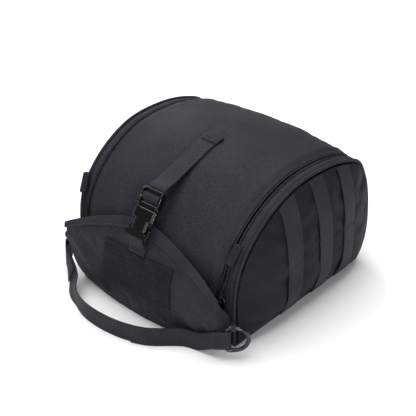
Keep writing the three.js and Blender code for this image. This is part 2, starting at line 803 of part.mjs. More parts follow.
function buildBuckle() {
  add("buckle_plug", bucklePlug(), acetal, buckleFrame);
  add("buckle_socket", buckleSocket(), acetal, buckleFrame);
  add("upper_strap", upperStrap(), webbingNylon);
  const level = clearance + webbingThickness / 2 + webbingLayer;
  const tab = [-0.5, -0.17, 0.17, 0.5].map((share) => onTop(share * anchorLength, level));
  const tabWidth = webbingWidth + 2 * anchorMargin;
  add("anchor_tab", ribbon(tab, sideways, tabWidth, webbingThickness), webbingNylon);
  add("lower_webbing", lowerWebbing(), webbingNylon);
}

// D-rings, their keepers and the hand strap

const barAcross = (side) => bodyWidth / 2 + (side < 0 ? leftRingOut : rightRingOut);
const barAlong = -halfDepth - ringForward;
const turnRadius = ringWire + 2 * clearance + webbingThickness / 2;
const ringMiddle = (side) => (side < 0 ? leftRingMiddle : rightRingMiddle);

// A point of a ring's plane, at a distance from its straight bar, moved square to the plane
// towards the bag.
function ringPoint(side, distance, height, inwards) {
  const turn = THREE.MathUtils.degToRad(ringTurn);
  const [c, s] = [Math.cos(turn), Math.sin(turn)];
  const x = barAcross(side) + distance * s - inwards * c;
  return new THREE.Vector3(side * x, barAlong + distance * c + inwards * s, height);
}

// The ring's middle line is a D: a straight bar at the front and a half circle at the back.
function dRing(side) {
  const half = ringHeight / 2;
  const at = (along, up) => ringPoint(side, along, ringMiddle(side) + up, 0);
  const roundSteps = 6;
  const round = Array.from({ length: roundSteps + 1 }, (_, i) => {
    const angle = Math.PI / 2 - (Math.PI * i) / roundSteps;
    return at(ringReach - half + half * Math.cos(angle), half * Math.sin(angle));
  });
  const bar = [
    at(ringWire, -half),
    at(0, ringWire - half),
    at(0, 0),
    at(0, half - ringWire),
    at(ringWire, half),
  ];
  const curve = new THREE.CatmullRomCurve3([...round, ...bar], true, "centripetal");
  return closedTube(curve, ringWire, 6, 34);
}

// The keeper comes out of the seam beside the pocket, passes over the ring's upper limb and back
// under it.
function ringKeeper(side) {
  const limb = ringMiddle(side) + ringHeight / 2;
  const distance = turnRadius + webbingThickness / 2 + clearance + keeperWidth / 2;
  const at = (inwards, height) => ringPoint(side, distance, height, inwards);
  const limbOut = side * at(0, limb).x;
  const turn = THREE.MathUtils.degToRad(ringTurn);
  const root = (limbOut - bodyWidth / 2 - keeperRoot) / Math.cos(turn);
  const gap = webbingThickness / 2 + clearance;
  const loop = [at(root, limb - gap)];
  for (let i = 0; i <= 8; i++) {
    const angle = (Math.PI * (i - 4)) / 8;
    loop.push(at(-turnRadius * Math.cos(angle), limb + turnRadius * Math.sin(angle)));
  }
  loop.push(at(root, limb + gap));
  const alongLimb = new THREE.Vector3(side * Math.sin(turn), Math.cos(turn), 0);
  return ribbon(loop, alongLimb, keeperWidth, webbingThickness);
}

// Points of the strap round a ring's bar, seen from above, between two angles in degrees.
function roundBar(side, from, to, steps) {
  return Array.from({ length: steps + 1 }, (_, i) => {
    const angle = THREE.MathUtils.degToRad(from + ((to - from) * i) / steps);
    return new THREE.Vector3(
      side * (barAcross(side) + turnRadius * Math.cos(angle)),
      barAlong + turnRadius * Math.sin(angle),
      ringMiddle(side),
    );
  });
}

// Where the strap's middle line leaves a ring, in front of its bar.
function handleEnd(side) {
  const angle = THREE.MathUtils.degToRad((turnFrom + turnTo) / 2 + 180);
  const reach = turnLeadOut * turnRadius;
  return new THREE.Vector3(
    side * (barAcross(side) + reach * Math.cos(angle)),
    barAlong + reach * Math.sin(angle),
    0,
  );
}

function handleStrap() {
  const between = handleTable.map(
    ({ across, forward }) =>
      new THREE.Vector3((across * bodyWidth) / 2, -halfDepth - forward * pocketDepth, 0),
  );
  const middle = new THREE.CatmullRomCurve3([handleEnd(1), ...between, handleEnd(-1)]);
  middle.curveType = "centripetal";
  // The strap stands on the floor and rises to the rings near its ends.
  const level = (share) => {
    const near = Math.max(0, 1 - Math.min(share, 1 - share) / strapRise);
    const top = ringMiddle(share < 0.5 ? 1 : -1);
    return webbingWidth / 2 + (top - webbingWidth / 2) * near * near * (3 - 2 * near);
  };
  const upright = new THREE.Vector3(0, 0, 1);
  const leanAt = (share) => {
    const near = Math.max(0, 1 - Math.abs(share - leanMiddle) / leanReach);
    return THREE.MathUtils.degToRad(strapLean) * near * near * (3 - 2 * near);
  };
  // A run of the strap beside its middle line, moved outwards from it, with its direction across.
  const run = (from, to, steps, aside) =>
    Array.from({ length: steps + 1 }, (_, i) => {
      const share = from + ((to - from) * i) / steps;
      const tangent = middle.getTangentAt(share);
      const outwards = new THREE.Vector3(-tangent.y, tangent.x, 0).normalize();
      const lean = leanAt(share);
      const across = upright.clone().multiplyScalar(Math.cos(lean));
      across.addScaledVector(outwards, -Math.sin(lean));
      const layerOut = outwards.clone().multiplyScalar(Math.cos(lean));
      layerOut.addScaledVector(upright, Math.sin(lean));
      const point = middle.getPointAt(share).setZ(level(share));
      return { point: point.addScaledVector(layerOut, aside), across };
    });
  const turned = (points) => points.map((point) => ({ point, across: upright }));
  const turnShare = 0.03;
  const leftOverlap = 0.9;
  const line = [
    ...run(strapOverlap, turnShare, 12, webbingLayer),
    ...turned(roundBar(1, turnFrom, turnTo, 6)),
    ...run(turnShare, 1 - turnShare, 32, 0),
    ...turned(roundBar(-1, turnTo, turnFrom, 6)),
    ...run(1 - turnShare, leftOverlap, 3, webbingLayer),
  ];
  const points = line.map(({ point }) => point);
  const across = line.map((place) => place.across);
  return ribbon(points, across, webbingWidth, webbingThickness);
}

function buildHandle() {
  for (const [word, side] of [["left", -1], ["right", 1]]) {
    add("d_ring_" + word, dRing(side), gunmetal);
    add("ring_keeper_" + word, ringKeeper(side), webbingNylon);
  }
  add("handle_strap", handleStrap(), webbingNylon);
}

// Zip sliders and their pulls

const zipMiddle = (zipFrom + zipTo) / 2;
const pullLean = (side) => (side < 0 ? leftPullLean : rightPullLean);

// A point over the zip, moved outwards by the lean for each millimetre of distance. What leans
// outwards climbs onto the piping.
function zipPoint(side, distance, aside, lift, lean) {
  const station = zipFront + distance / archLength;
  const outwards = lean * distance;
  const across = side * (halfWidthAt(arch.getPointAt(station).z) - zipMiddle + outwards);
  const climb = pipingRadius * Math.min(1, outwards / zipMiddle);
  return skinPoint(station, across + aside, lift + climb);
}

// A frame on the zip: X across, Y along the pull towards the top, Z out of the skin.
function onZip(side, distance, lift, lean = pullLean(side)) {
  const at = zipPoint(side, distance, 0, lift, lean);
  const ahead = distance + pullRingRadius;
  const along = zipPoint(side, ahead, 0, lift, lean).sub(at).normalize();
  const right = zipPoint(side, distance, 1, lift, lean);
  const left = zipPoint(side, distance, -1, lift, lean);
  const out = right.sub(left).cross(along).normalize();
  const level = new THREE.Vector3().crossVectors(along, out);
  return new THREE.Matrix4().makeBasis(level, along, out).setPosition(at);
}

const sliderTop = clearance + sliderBody;
const pullLevel = sliderTop + sliderEye / 2; // the ring's wire under the slider's bridge
const ringSeat = sliderLength * 0.05; // its near wire, up from the slider's middle
const ringTop = ringSeat + 2 * pullRingRadius;
const gripFoot = ringTop + pullLoopLength;

// The slider's plate with a bridge over it, under which the ring's wire passes.
function slider() {
  const outline = roundedOutline(sliderWidth, sliderLength, sliderCorner);
  const body = solidOf(plate(outline, sliderBody, 3, clearance + sliderBody / 2));
  const reach = (sliderLength * bridgeShare) / 2;
  const roof = sliderTop + sliderEye;
  const bridge = new THREE.Shape();
  bridge.moveTo(-reach, sliderTop - bridgeWall);
  bridge.lineTo(reach, sliderTop - bridgeWall);
  bridge.lineTo(reach, roof - bridgeWall);
  bridge.lineTo(reach - bridgeWall, roof + bridgeWall);
  bridge.lineTo(bridgeWall - reach, roof + bridgeWall);
  bridge.lineTo(-reach, roof - bridgeWall);
  const eye = new THREE.Path();
  const low = reach - bridgeWall;
  const high = reach - 1.6 * bridgeWall;
  eye.moveTo(-low, sliderTop);
  eye.lineTo(low, sliderTop);
  eye.lineTo(high, roof);
  eye.lineTo(-high, roof);
  eye.closePath();
  bridge.holes.push(eye);
  const arm = new THREE.ExtrudeGeometry(bridge, { depth: bridgeWidth, bevelEnabled: false });
  arm.translate(0, 0, -bridgeWidth / 2);
  const upright = new THREE.Matrix4().makeBasis(
    new THREE.Vector3(0, 1, 0),
    new THREE.Vector3(0, 0, 1),
    new THREE.Vector3(1, 0, 0),
  );
  return geometryOf(body.add(solidOf(arm.applyMatrix4(upright))));
}

// The cord is threaded through the ring: one strand over its far wire and the other under it, and
// both ends go into the grip side by side.
function pullLoop(side) {
  const wire = ringTop;
  const pass = pullCord + pullRingWire + loopSlack;
  const at = (distance, aside, lift) =>
    new THREE.Vector3(aside, 0, 0).applyMatrix4(onZip(side, distance, lift));
  const gripLevel = clearance + gripThickness / 2;
  const end = gripFoot - clearance;
  const points = [
    at(end, cordSpread, gripLevel),
    at(wire + pullLoopLength / 2, loopSpread, pullLevel + 0.4 * pass),
    at(wire + pass, cordSpread * 0.5, pullLevel + pass),
    at(wire, 0, pullLevel + pass),
    at(wire - pass, 0, pullLevel),
    at(wire, 0, pullLevel - pass),
    at(wire + pass, -cordSpread * 0.5, pullLevel - pass),
    at(wire + pullLoopLength / 2, -loopSpread, pullLevel - 0.4 * pass),
    at(end, -cordSpread, gripLevel),
  ];
  const section = new THREE.Shape();
  section.absarc(0, 0, pullCord, 0, 2 * Math.PI);
  return new THREE.ExtrudeGeometry(section, {
    steps: 20,
    curveSegments: 3,
    extrudePath: new THREE.CatmullRomCurve3(points, false, "centripetal"),
  });
}

function buildPulls() {
  for (const [word, side] of [["left", -1], ["right", 1]]) {
    add("slider_" + word, slider(), gunmetal, onZip(side, 0, 0, 0));
    const ring = new THREE.TorusGeometry(pullRingRadius, pullRingWire, 6, 16);
    const ringMiddle = (ringSeat + ringTop) / 2;
    add("pull_ring_" + word, ring, gunmetal, onZip(side, ringMiddle, pullLevel));
    add("pull_loop_" + word, pullLoop(side), webbingNylon);
    const outline = roundedOutline(gripWidth, gripLength, gripWidth / 2 - clearance);
    const grip = plate(outline, gripThickness, 4, clearance + gripThickness / 2);
    add("pull_grip_" + word, grip, gripRubber, onZip(side, gripFoot + gripLength / 2, 0));
  }
}

buildSkin();
buildEnds();
buildBase();
buildPocket();
buildBuckle();
buildHandle();
buildPulls();

export default bag;
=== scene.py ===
"""Looks of a soft black helmet bag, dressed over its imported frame.

All sizes are millimetres until a mesh is made. X runs across the bag, the pocket faces -Y, Z is up
and the floor is Z = 0. Every cloth piece is a grid of points worked out from the sizes below and
closed into a thin cushion, so no piece is a bare sheet.
"""
import json

import bpy
import numpy as np
from mathutils import Matrix

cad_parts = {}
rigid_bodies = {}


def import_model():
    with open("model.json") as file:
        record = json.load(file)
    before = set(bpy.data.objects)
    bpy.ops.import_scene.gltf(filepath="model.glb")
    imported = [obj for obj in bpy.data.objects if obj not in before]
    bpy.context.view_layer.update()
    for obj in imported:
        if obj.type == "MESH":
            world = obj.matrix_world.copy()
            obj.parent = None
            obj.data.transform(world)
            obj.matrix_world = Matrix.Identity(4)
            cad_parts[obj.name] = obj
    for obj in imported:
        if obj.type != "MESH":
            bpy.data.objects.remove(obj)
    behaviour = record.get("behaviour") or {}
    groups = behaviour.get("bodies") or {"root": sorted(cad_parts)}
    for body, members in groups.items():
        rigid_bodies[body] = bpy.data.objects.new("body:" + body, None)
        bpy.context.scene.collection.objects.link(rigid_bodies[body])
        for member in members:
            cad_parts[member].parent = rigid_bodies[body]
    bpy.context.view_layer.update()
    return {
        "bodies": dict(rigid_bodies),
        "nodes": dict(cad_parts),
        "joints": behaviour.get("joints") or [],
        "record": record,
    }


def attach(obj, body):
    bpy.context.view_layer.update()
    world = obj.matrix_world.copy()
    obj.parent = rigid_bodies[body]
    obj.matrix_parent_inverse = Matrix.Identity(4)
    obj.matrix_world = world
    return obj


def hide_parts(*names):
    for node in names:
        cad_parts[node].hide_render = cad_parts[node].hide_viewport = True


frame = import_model()

MM = 0.001
SIDES = (("left", -1), ("right", 1))

# Settling cloth: mass of a point, push of the filling and number of steps
CLOTH_MASS = 0.002
CLOTH_PRESSURE = 4.0
SETTLE_STEPS = 20

# Body
BODY_WIDTH = 250.0
HALF_DEPTH = 133.0
BODY_HEIGHT = 181.0
PANEL_CROWN = 11.5
CROWN_HEIGHT = 90.0
END_FLARE = 6.5
END_BULGE = 19.0
DOME_POWER = 2.6
DOME_CENTRE = 0.42
WALL = 4.5
FLOOR_HALF_WIDTH, FLOOR_FRONT, FLOOR_BACK = 122.0, -127.5, 95.0
FLOOR_THICK = 4.0
PIPING_RADIUS = 2.0
PIPING_LIFT = 3.2

# Distances in from the rim seam
GUSSET_FROM, GUSSET_TO = 2.05, 11.8
ZIP_FROM, ZIP_TO = 12.1, 19.1
ZIP_MIDDLE = 15.6
LID_FROM = 19.4
STITCH_ROW = 5.5
ZIP_END_HEIGHT = 62.0
REAR_ZIP_HEIGHT = 46.0
ZIP_WIDTH = 7.0
GAP = 0.3

# Pocket
POCKET_HALF = 127.0
POCKET_WALL = 1.6
POCKET_DEPTH = 36.0
POCKET_PEAK = 127.0
HEM_DIP = {-1: (42.0, 1.6), 1: (44.0, 1.25)}
POCKET_SEAM = 50.0
SEAM_ACROSS = 124.0
SEWN_ABOVE_PATCH = 2.0
PATCH = (110.0, 53.0)
PATCH_MIDDLE = 66.0

# Webbing, buckle, rings and pulls
WEB_WIDTH = 25.0
UNDER_STRAP = 15.0
WEB = 1.5
LAYER = WEB + GAP
ANCHOR_ALONG = -30.0
ANCHOR_LENGTH = 14.0
BUCKLE_CENTRE = (-148.0, 142.0)
BUCKLE_TILT = np.radians(56.0)
BUCKLE_WIDTH = 33.0
BUCKLE_DEPTH = 4.0
BUCKLE_BAR, BUCKLE_SLOT = 3.0, 6.0
BODY_FOOT, BODY_TOP = -30.4, 4.7
FRAME_FOOT, FRAME_TOP = 5.0, 29.0
SOCKET_FOOT = -29.0
RING_WIRE = 2.0
RING_THICK = 5.0
RING_HEIGHT = 32.0
RING_REACH = 25.0
RING_TURN = np.radians(48.0)
BAR_ACROSS = {-1: 136.0, 1: 132.0}
BAR_ALONG = -155.0
RING_MIDDLE = {-1: 36.0, 1: 28.5}
KEEPER_ROOT = 132.0
KEEPER_WIDTH = 6.0
STRAP_LEAN = np.radians(28.0)
LEAN_MIDDLE, LEAN_REACH = 0.86, 0.13
STRAP_CLIMB = 0.14
TURN = 3.35
PULL_LEAN = {-1: 0.2, 1: 0.06}
PULL_LEVEL = 4.4
RING_SEAT = 0.75
PULL_RING = 5.2
PULL_WIRE = 0.9
CORD_THICK = 2.2
LOOP_LENGTH = 38.0
GRIP_LENGTH = 27.0
GRIP_WIDTH = 11.5
GRIP_THICK = 6.0

# Camera: azimuth and elevation, place, and focal length over a 36 mm frame
CAMERA_ANGLES = np.radians((41.64, 31.69))
CAMERA_PLACE = (776.1, -912.5, 819.4)
CAMERA_LENS = 94.98

# Rim line seen from the side: shares of half the depth and of the height, front foot to back foot
ARCH_TABLE = np.array([
    (-1.0, 0), (-1.02, 0.18), (-1.035, 0.384), (-0.977, 0.616), (-0.747, 0.829), (-0.351, 0.982),
    (0.135, 1.0), (0.49, 0.945), (0.69, 0.876), (0.81, 0.745), (0.9, 0.565), (0.955, 0.3),
    (0.945, 0.18), (0.9, 0.08), (0.83, 0.02), (0.76, 0.002),
])

# Pocket at shares of its hem's height: half width, then how far the left corner, the middle and
# the right corner stand out
POCKET_TABLE = np.array([
    (0, 0.865, 0.5, 0.86, 0.3), (0.12, 0.9, 0.62, 0.98, 0.42), (0.35, 0.945, 0.8, 1.05, 0.66),
    (0.55, 0.972, 0.87, 1.03, 0.83), (0.74, 0.988, 0.93, 0.87, 0.93), (0.915, 1, 0.93, 0.54, 0.93),
    (1, 1, 0.9, 0.32, 0.9),
])

# Side bands: Y of the front edge at the top and at the bottom, in shares of half the depth
BAND_TABLE = ((-0.53, -0.44), (-0.13, 0.02), (0.28, 0.38))

# Hand strap from above, right to left: across in shares of half the width, forward in shares of
# the pocket's depth
HANDLE_TABLE = (
    (1.01, 0.83), (0.92, 0.86), (0.8, 0.9), (0.64, 1.02), (0.33, 1.86), (0, 2.2), (-0.4, 2.16),
    (-0.68, 1.72), (-0.86, 1.19), (-0.95, 1.01), (-1.03, 0.88),
)

# Folds of the pocket's cloth: X and Z where each starts and ends, its half width and its height
POCKET_FOLDS = (
    (-118, 70, -60, 30, 7, 3.0), (-122, 48, -78, 12, 6, 2.6), (-100, 78, -58, 52, 5, -2.0),
    (-96, 40, -40, 8, 6, 2.2), (-70, 60, -58, 20, 5, 1.6), (60, 62, 96, 22, 7, 2.6),
    (72, 78, 118, 52, 6, 2.2), (58, 30, 100, 6, 6, -2.2), (88, 60, 122, 20, 5, 2.4),
    (-30, 34, 30, 30, 5, 1.4), (20, 22, 70, 12, 5, 1.6), (-50, 100, -20, 112, 4, 0.8),
    (30, 110, 70, 96, 5, 1.0), (112, 40, 124, 70, 4, -1.6),
)


# Curves and grids

def run_along(line):
    """Length of a polyline from its first point to each point."""
    return np.concatenate([[0], np.cumsum(np.linalg.norm(np.diff(line, axis=0), axis=1))])


def read_at(steps, run, table):
    """A table's rows at steps of a run, by straight interpolation of each column."""
    return np.stack([np.interp(steps, run, column) for column in table.T], axis=-1)


def resample(line, count):
    """Points at equal steps of a polyline's length."""
    run = run_along(line)
    return read_at(np.linspace(0, run[-1], count), run, line)


def smooth_line(points, count, closed=False):
    """A centripetal Catmull-Rom curve through points, read at equal steps of its length.

    Each span is a cubic. Its end slopes come from the three chords round each end, with the square
    roots of their lengths as times.
    """
    p = np.asarray(points, float)
    if closed:
        p = np.vstack([p[-1], p, p[0], p[1]])
    else:
        p = np.vstack([2 * p[0] - p[1], p, 2 * p[-1] - p[-2]])
    times = np.sqrt(np.linalg.norm(np.diff(p, axis=0), axis=1)).clip(1e-3)[:, None, None]
    before, during, after = times[:-2], times[1:-1], times[2:]
    a, b, c, d = p[:-3, None], p[1:-2, None], p[2:-1, None], p[3:, None]
    leave = ((b - a) / before - (c - a) / (before + during) + (c - b) / during) * during
    arrive = ((c - b) / during - (d - b) / (during + after) + (d - c) / after) * during
    t = np.linspace(0, 1, 60, endpoint=False)[None, :, None]
    cubic = b + leave * t + (3 * (c - b) - 2 * leave - arrive) * t**2
    cubic = cubic + (2 * (b - c) + leave + arrive) * t**3
    return resample(np.vstack([cubic.reshape(-1, p.shape[1]), p[-2]]), count)


def unit(vectors):
    return vectors / np.linalg.norm(vectors, axis=-1, keepdims=True).clip(1e-9)


def spots(x, y, z):
    """Points from three coordinates, each spread to their common shape."""
    return np.stack(np.broadcast_arrays(x, y, z), axis=-1)


def eased(share):
    """Goes from 0 to 1 with level ends: three times the square less twice the cube."""
    return share**2 * (3 - 2 * share)


def quarter(share):
    """A quarter circle's height at a share of the way in from its edge."""
    return np.sqrt(1 - (1 - share.clip(0, 1)) ** 2)


def spaced(length, edge, step):
    """Shares of a length: a quarter circle's spacing inside each rounded edge, even between."""
    turn = edge * (1 - np.cos(np.linspace(0, np.pi / 2, 5)))[:-1]
    middle = np.linspace(edge, length - edge, max(2, int((length - 2 * edge) / step) + 1))
    return np.concatenate([turn, middle, (length - turn)[::-1]]) / length


def ripple(x, y, scale, seed):
    """Soft unevenness between about -1 and 1: twelve sine waves in random directions, summed."""
    rng = np.random.default_rng(seed)
    angle = rng.uniform(0, 2 * np.pi, 12)
    pitch = scale * rng.uniform(0.7, 1.8, 12)
    phase = rng.uniform(0, 2 * np.pi, 12)
    x, y = np.asarray(x)[..., None], np.asarray(y)[..., None]
    return np.sin((x * np.cos(angle) + y * np.sin(angle)) * 2 * np.pi / pitch + phase).sum(-1) / 5


def hump(distance, width):
    """A bell of height 1 round 0."""
    return np.exp(-((distance / width) ** 2))


# The arched skin

ARCH = smooth_line(np.c_[ARCH_TABLE[:, 0] * HALF_DEPTH, ARCH_TABLE[:, 1] * BODY_HEIGHT], 2401)
ARCH_SHARES = np.linspace(0, 1, len(ARCH))
ARCH_TANGENT = unit(np.gradient(ARCH, axis=0))
ARCH_LENGTH = np.linalg.norm(np.diff(ARCH, axis=0), axis=1).sum()
ARCH_TOP = int(ARCH[:, 1].argmax())


def half_width(height):
    return BODY_WIDTH / 2 + END_FLARE * height / BODY_HEIGHT


def rim(station):
    """The rim line's Y and Z and its tangent's, at shares of its length."""
    return [np.interp(station, ARCH_SHARES, table) for table in (*ARCH.T, *ARCH_TANGENT.T)]


def skin(station, across, lift=0.0):
    """A point of the arched skin: the rim's point moved along its normal.

    It rises by the crown times one less the square of the share across, faded in over the lowest
    part, plus the lift over the outer face.
    """
    y, z, along_y, along_z = rim(station)
    share = across / half_width(z)
    rise = PANEL_CROWN * (1 - share**2) * np.minimum(1, z / CROWN_HEIGHT) + lift
    return spots(across, y - along_z * rise, z + along_y * rise)


def front_station(height):
    return np.interp(height, ARCH[:ARCH_TOP, 1], ARCH_SHARES[:ARCH_TOP])


def back_station(height):
    return np.interp(height, ARCH[:ARCH_TOP:-1, 1], ARCH_SHARES[:ARCH_TOP:-1])


def along_station(y):
    top = slice(300, 2000)
    return np.interp(y, ARCH[top, 0], ARCH_SHARES[top])


ZIP_FRONT = front_station(ZIP_END_HEIGHT)
ZIP_BACK = back_station(REAR_ZIP_HEIGHT)


# Domed ends

def end_outline(inset, count):
    """The rim line over one end, moved in by an inset, from its front foot to its back foot."""
    low = PIPING_LIFT + inset
    station = np.linspace(front_station(low), back_station(low), count)
    y, z, along_y, along_z = rim(station)
    return np.stack([y + along_z * inset, z - along_y * inset], axis=1)


def dome_reach():
    """Distance from an end's middle to its outline, by angle."""
    arc = end_outline(0, 400)
    floor = np.linspace(arc[-1], arc[0], 120)[1:-1]
    ring = np.vstack([arc, floor]) - (0, DOME_CENTRE * BODY_HEIGHT)
    angle = np.arctan2(ring[:, 1], ring[:, 0])
    order = angle.argsort()
    return angle[order], np.linalg.norm(ring, axis=1)[order]


DOME_ANGLE, DOME_REACH = dome_reach()


def end_point(side, y, z, lift=0.0):
    """A point of an end's outer face: it stands out by the bulge less a power of the share out."""
    dy, dz = y, z - DOME_CENTRE * BODY_HEIGHT
    reach = np.interp(np.arctan2(dz, dy), DOME_ANGLE, DOME_REACH, period=2 * np.pi)
    share = (np.hypot(dy, dz) / reach).clip(0, 1)
    out = half_width(z) + PIPING_RADIUS + END_BULGE * (1 - share**DOME_POWER) + lift
    return spots(side * out, y, z)


# Shapes: points, faces, the place of each face corner on the cloth, and how worn each point is

def grid_normals(face):
    """Unit normals of a grid of points, turned away from the bag's middle."""
    normal = unit(np.cross(np.gradient(face, axis=1), np.gradient(face, axis=0)))
    away = face - np.array([0, 0, 0.45 * BODY_HEIGHT])
    return normal if (normal * away).sum() > 0 else -normal


def numbered(shape):
    """Numbers for the points of a grid, row by row."""
    return np.arange(shape[0] * shape[1]).reshape(shape)


def quads(numbers, places):
    """The cells of a grid of point numbers, with the place of each of their corners."""
    def corners(table):
        cells = [table[:-1, :-1], table[1:, :-1], table[1:, 1:], table[:-1, 1:]]
        return np.stack(cells, axis=2).reshape(-1, 4, *table.shape[2:])
    return corners(numbers), corners(places)


def outward(shape):
    """Turns every face round where the closed shape's signed volume is negative."""
    points, faces, places, worn = shape
    corner = [points[[face[k] for face in faces]] for k in (0, 1, 2)]
    volume = np.einsum("ij,ij->", corner[0], np.cross(corner[1], corner[2]))
    fourth = [face for face in faces if len(face) > 3]
    corner = [points[[face[k] for face in fourth]] for k in (0, 2, 3)]
    volume += np.einsum("ij,ij->", corner[0], np.cross(corner[1], corner[2]))
    if volume < 0:
        faces = [face[::-1] for face in faces]
        places = [place[::-1] for place in places]
    return points, faces, places, worn


def pad(face, thickness, edge, sink=0.5, ends=True):
    """A closed cushion from a grid of points on its outer face.

    Its middle surface lies under the grid by sink times the thickness. Both faces stand off that
    surface by half the thickness times a quarter circle of the distance to the nearest edge, so
    they meet in rounded edges.
    """
    normal = grid_normals(face)
    middle = face - normal * thickness * sink
    def run(axis):
        step = np.linalg.norm(np.diff(middle, axis=axis), axis=2)
        return np.concatenate([np.zeros_like(step.take([0], axis)), step.cumsum(axis)], axis)
    along, across = run(0), run(1)
    to_end = np.minimum(along, along[-1:] - along)
    to_side = np.minimum(across, across[:, -1:] - across)
    half = thickness / 2 * quarter(to_side / edge) * quarter(to_end / edge)
    outer = middle + normal * half[..., None]
    inner = (middle - normal * half[..., None])[1:-1, 1:-1]
    top = numbered(half.shape)
    under = top.copy()
    under[1:-1, 1:-1] = top.size + numbered(inner.shape[:2])
    spread = np.broadcast_to(along.mean(1, keepdims=True), along.shape)
    places = np.stack([across - across[:, -1:] / 2, spread], axis=2)
    upper, upper_places = quads(top, places)
    lower, lower_places = quads(under, places)
    points = np.vstack([outer.reshape(-1, 3), inner.reshape(-1, 3)])
    near = np.minimum(to_side, to_end if ends else to_side)
    worn = np.exp(-near / 1.5)
    worn = np.concatenate([worn.ravel(), worn[1:-1, 1:-1].ravel()])
    faces = np.vstack([upper, lower[:, ::-1]]).tolist()
    corner_places = np.concatenate([upper_places, lower_places[:, ::-1]]).tolist()
    return outward((points, faces, corner_places, worn))


def sweep(path, section, widthways, closed=False, scale=None):
    """A section carried along a path: a tube, with flat ends unless the path is closed.

    The section's first axis follows widthways, turned square to the path, and its second axis is
    square to both. scale holds two shares a point of the path.
    """
    if closed:
        tangent = unit(np.roll(path, -1, axis=0) - np.roll(path, 1, axis=0))
    else:
        tangent = unit(np.gradient(path, axis=0))
    first = np.broadcast_to(np.asarray(widthways, float), path.shape)
    first = unit(first - tangent * (first * tangent).sum(1, keepdims=True))
    second = np.cross(tangent, first)
    scale = np.ones((len(path), 2)) if scale is None else scale
    a = section[None, :, 0] * scale[:, :1]
    b = section[None, :, 1] * scale[:, 1:]
    points = path[:, None] + first[:, None] * a[..., None] + second[:, None] * b[..., None]
    numbers = numbered(points.shape[:2])
    numbers = np.c_[numbers, numbers[:, 0]]
    if closed:
        path = np.vstack([path, path[:1]])
        numbers = np.vstack([numbers, numbers[:1]])
    round_run = run_along(np.vstack([section, section[:1]]))
    cells, cell_places = quads(numbers, np.stack(np.meshgrid(round_run, run_along(path)), axis=2))
    faces, corner_places = cells.tolist(), cell_places.tolist()
    if not closed:
        for end in (numbers[0, :-1], numbers[-1, :-1][::-1]):
            faces.append(end.tolist())
            corner_places.append([[0.0, 0.0]] * len(end))
    points = points.reshape(-1, 3)
    return outward((points, faces, corner_places, np.zeros(len(points))))


def rounded(width, height, power=4.0, count=20):
    """A superellipse as a section: a rounded rectangle that squares up as the power grows."""
    angle = np.linspace(0, 2 * np.pi, count, endpoint=False)
    c, s = np.cos(angle), np.sin(angle)
    x = np.sign(c) * np.abs(c) ** (2 / power) * width / 2
    y = np.sign(s) * np.abs(s) ** (2 / power) * height / 2
    return np.stack([x, y], axis=1)


def bar(start, end, section, widthways, steps=10, round_off=1.2):
    """A straight moulded bar whose section shrinks along a quarter circle at both ends."""
    start, end = np.asarray(start, float), np.asarray(end, float)
    length = np.linalg.norm(end - start)
    share = spaced(length, round_off, length / steps)
    inside = np.minimum(share, 1 - share) * length / round_off
    shrink = 0.55 + 0.45 * quarter(inside)
    path = start + (end - start) * share[:, None]
    return sweep(path, section, widthways, scale=np.c_[shrink, shrink])


def joined(shapes):
    """Several shapes as one."""
    points, faces, places, worn = [], [], [], []
    total = 0
    for shape in shapes:
        points.append(shape[0])
        faces.extend([[k + total for k in face] for face in shape[1]])
        places.extend(shape[2])
        worn.append(shape[3])
        total += len(shape[0])
    return np.vstack(points), faces, places, np.concatenate(worn)


def stitches(line, out, pitch=3.4, length=2.5, radius=0.42, turned=False):
    """Thread along a line: one slim bead at each pitch, thickest in the middle.

    A bead is three rings of four points between two poles. Turned beads lie across the line.
    """
    run = run_along(line)
    middle = np.arange(pitch / 2, run[-1], pitch)
    at = read_at(middle, run, line)
    up = unit(read_at(middle, run, np.broadcast_to(out, line.shape)))
    along = unit(read_at(middle, run, np.gradient(line, axis=0)))
    up = unit(up - along * (up * along).sum(1, keepdims=True))
    beside = np.cross(along, up)
    if turned:
        along, beside = beside, along
    bead = [(-1.0, 0, 0)]
    for x, r in ((-0.7, 0.75), (0, 1.0), (0.7, 0.75)):
        bead += [(x, r, 0), (x, 0, r), (x, -r, 0), (x, 0, -r)]
    bead.append((1.0, 0, 0))
    bead = np.array(bead) * (length / 2, radius, radius)
    points = at[:, None] + along[:, None] * bead[None, :, :1] + beside[:, None] * bead[None, :, 1:2]
    points = points + up[:, None] * bead[None, :, 2:]
    cells = []
    for k in range(4):
        after = (k + 1) % 4
        cells += [[0, 1 + k, 1 + after, 1 + after], [9 + k, 13, 9 + after, 9 + after]]
        cells += [[1 + k, 5 + k, 5 + after, 1 + after], [5 + k, 9 + k, 9 + after, 5 + after]]
    cells = [cell[:3] if cell[2] == cell[3] else cell for cell in cells]
    count = len(bead)
    faces = [[k + n * count for k in cell] for n in range(len(at)) for cell in cells]
    places = [[[0.0, 0.0]] * len(face) for face in faces]
    return outward((points.reshape(-1, 3), faces, places, np.full(len(at) * count, 0.5)))


def add_object(name, data):
    made = bpy.data.objects.new(name, data)
    bpy.context.collection.objects.link(made)
    return made


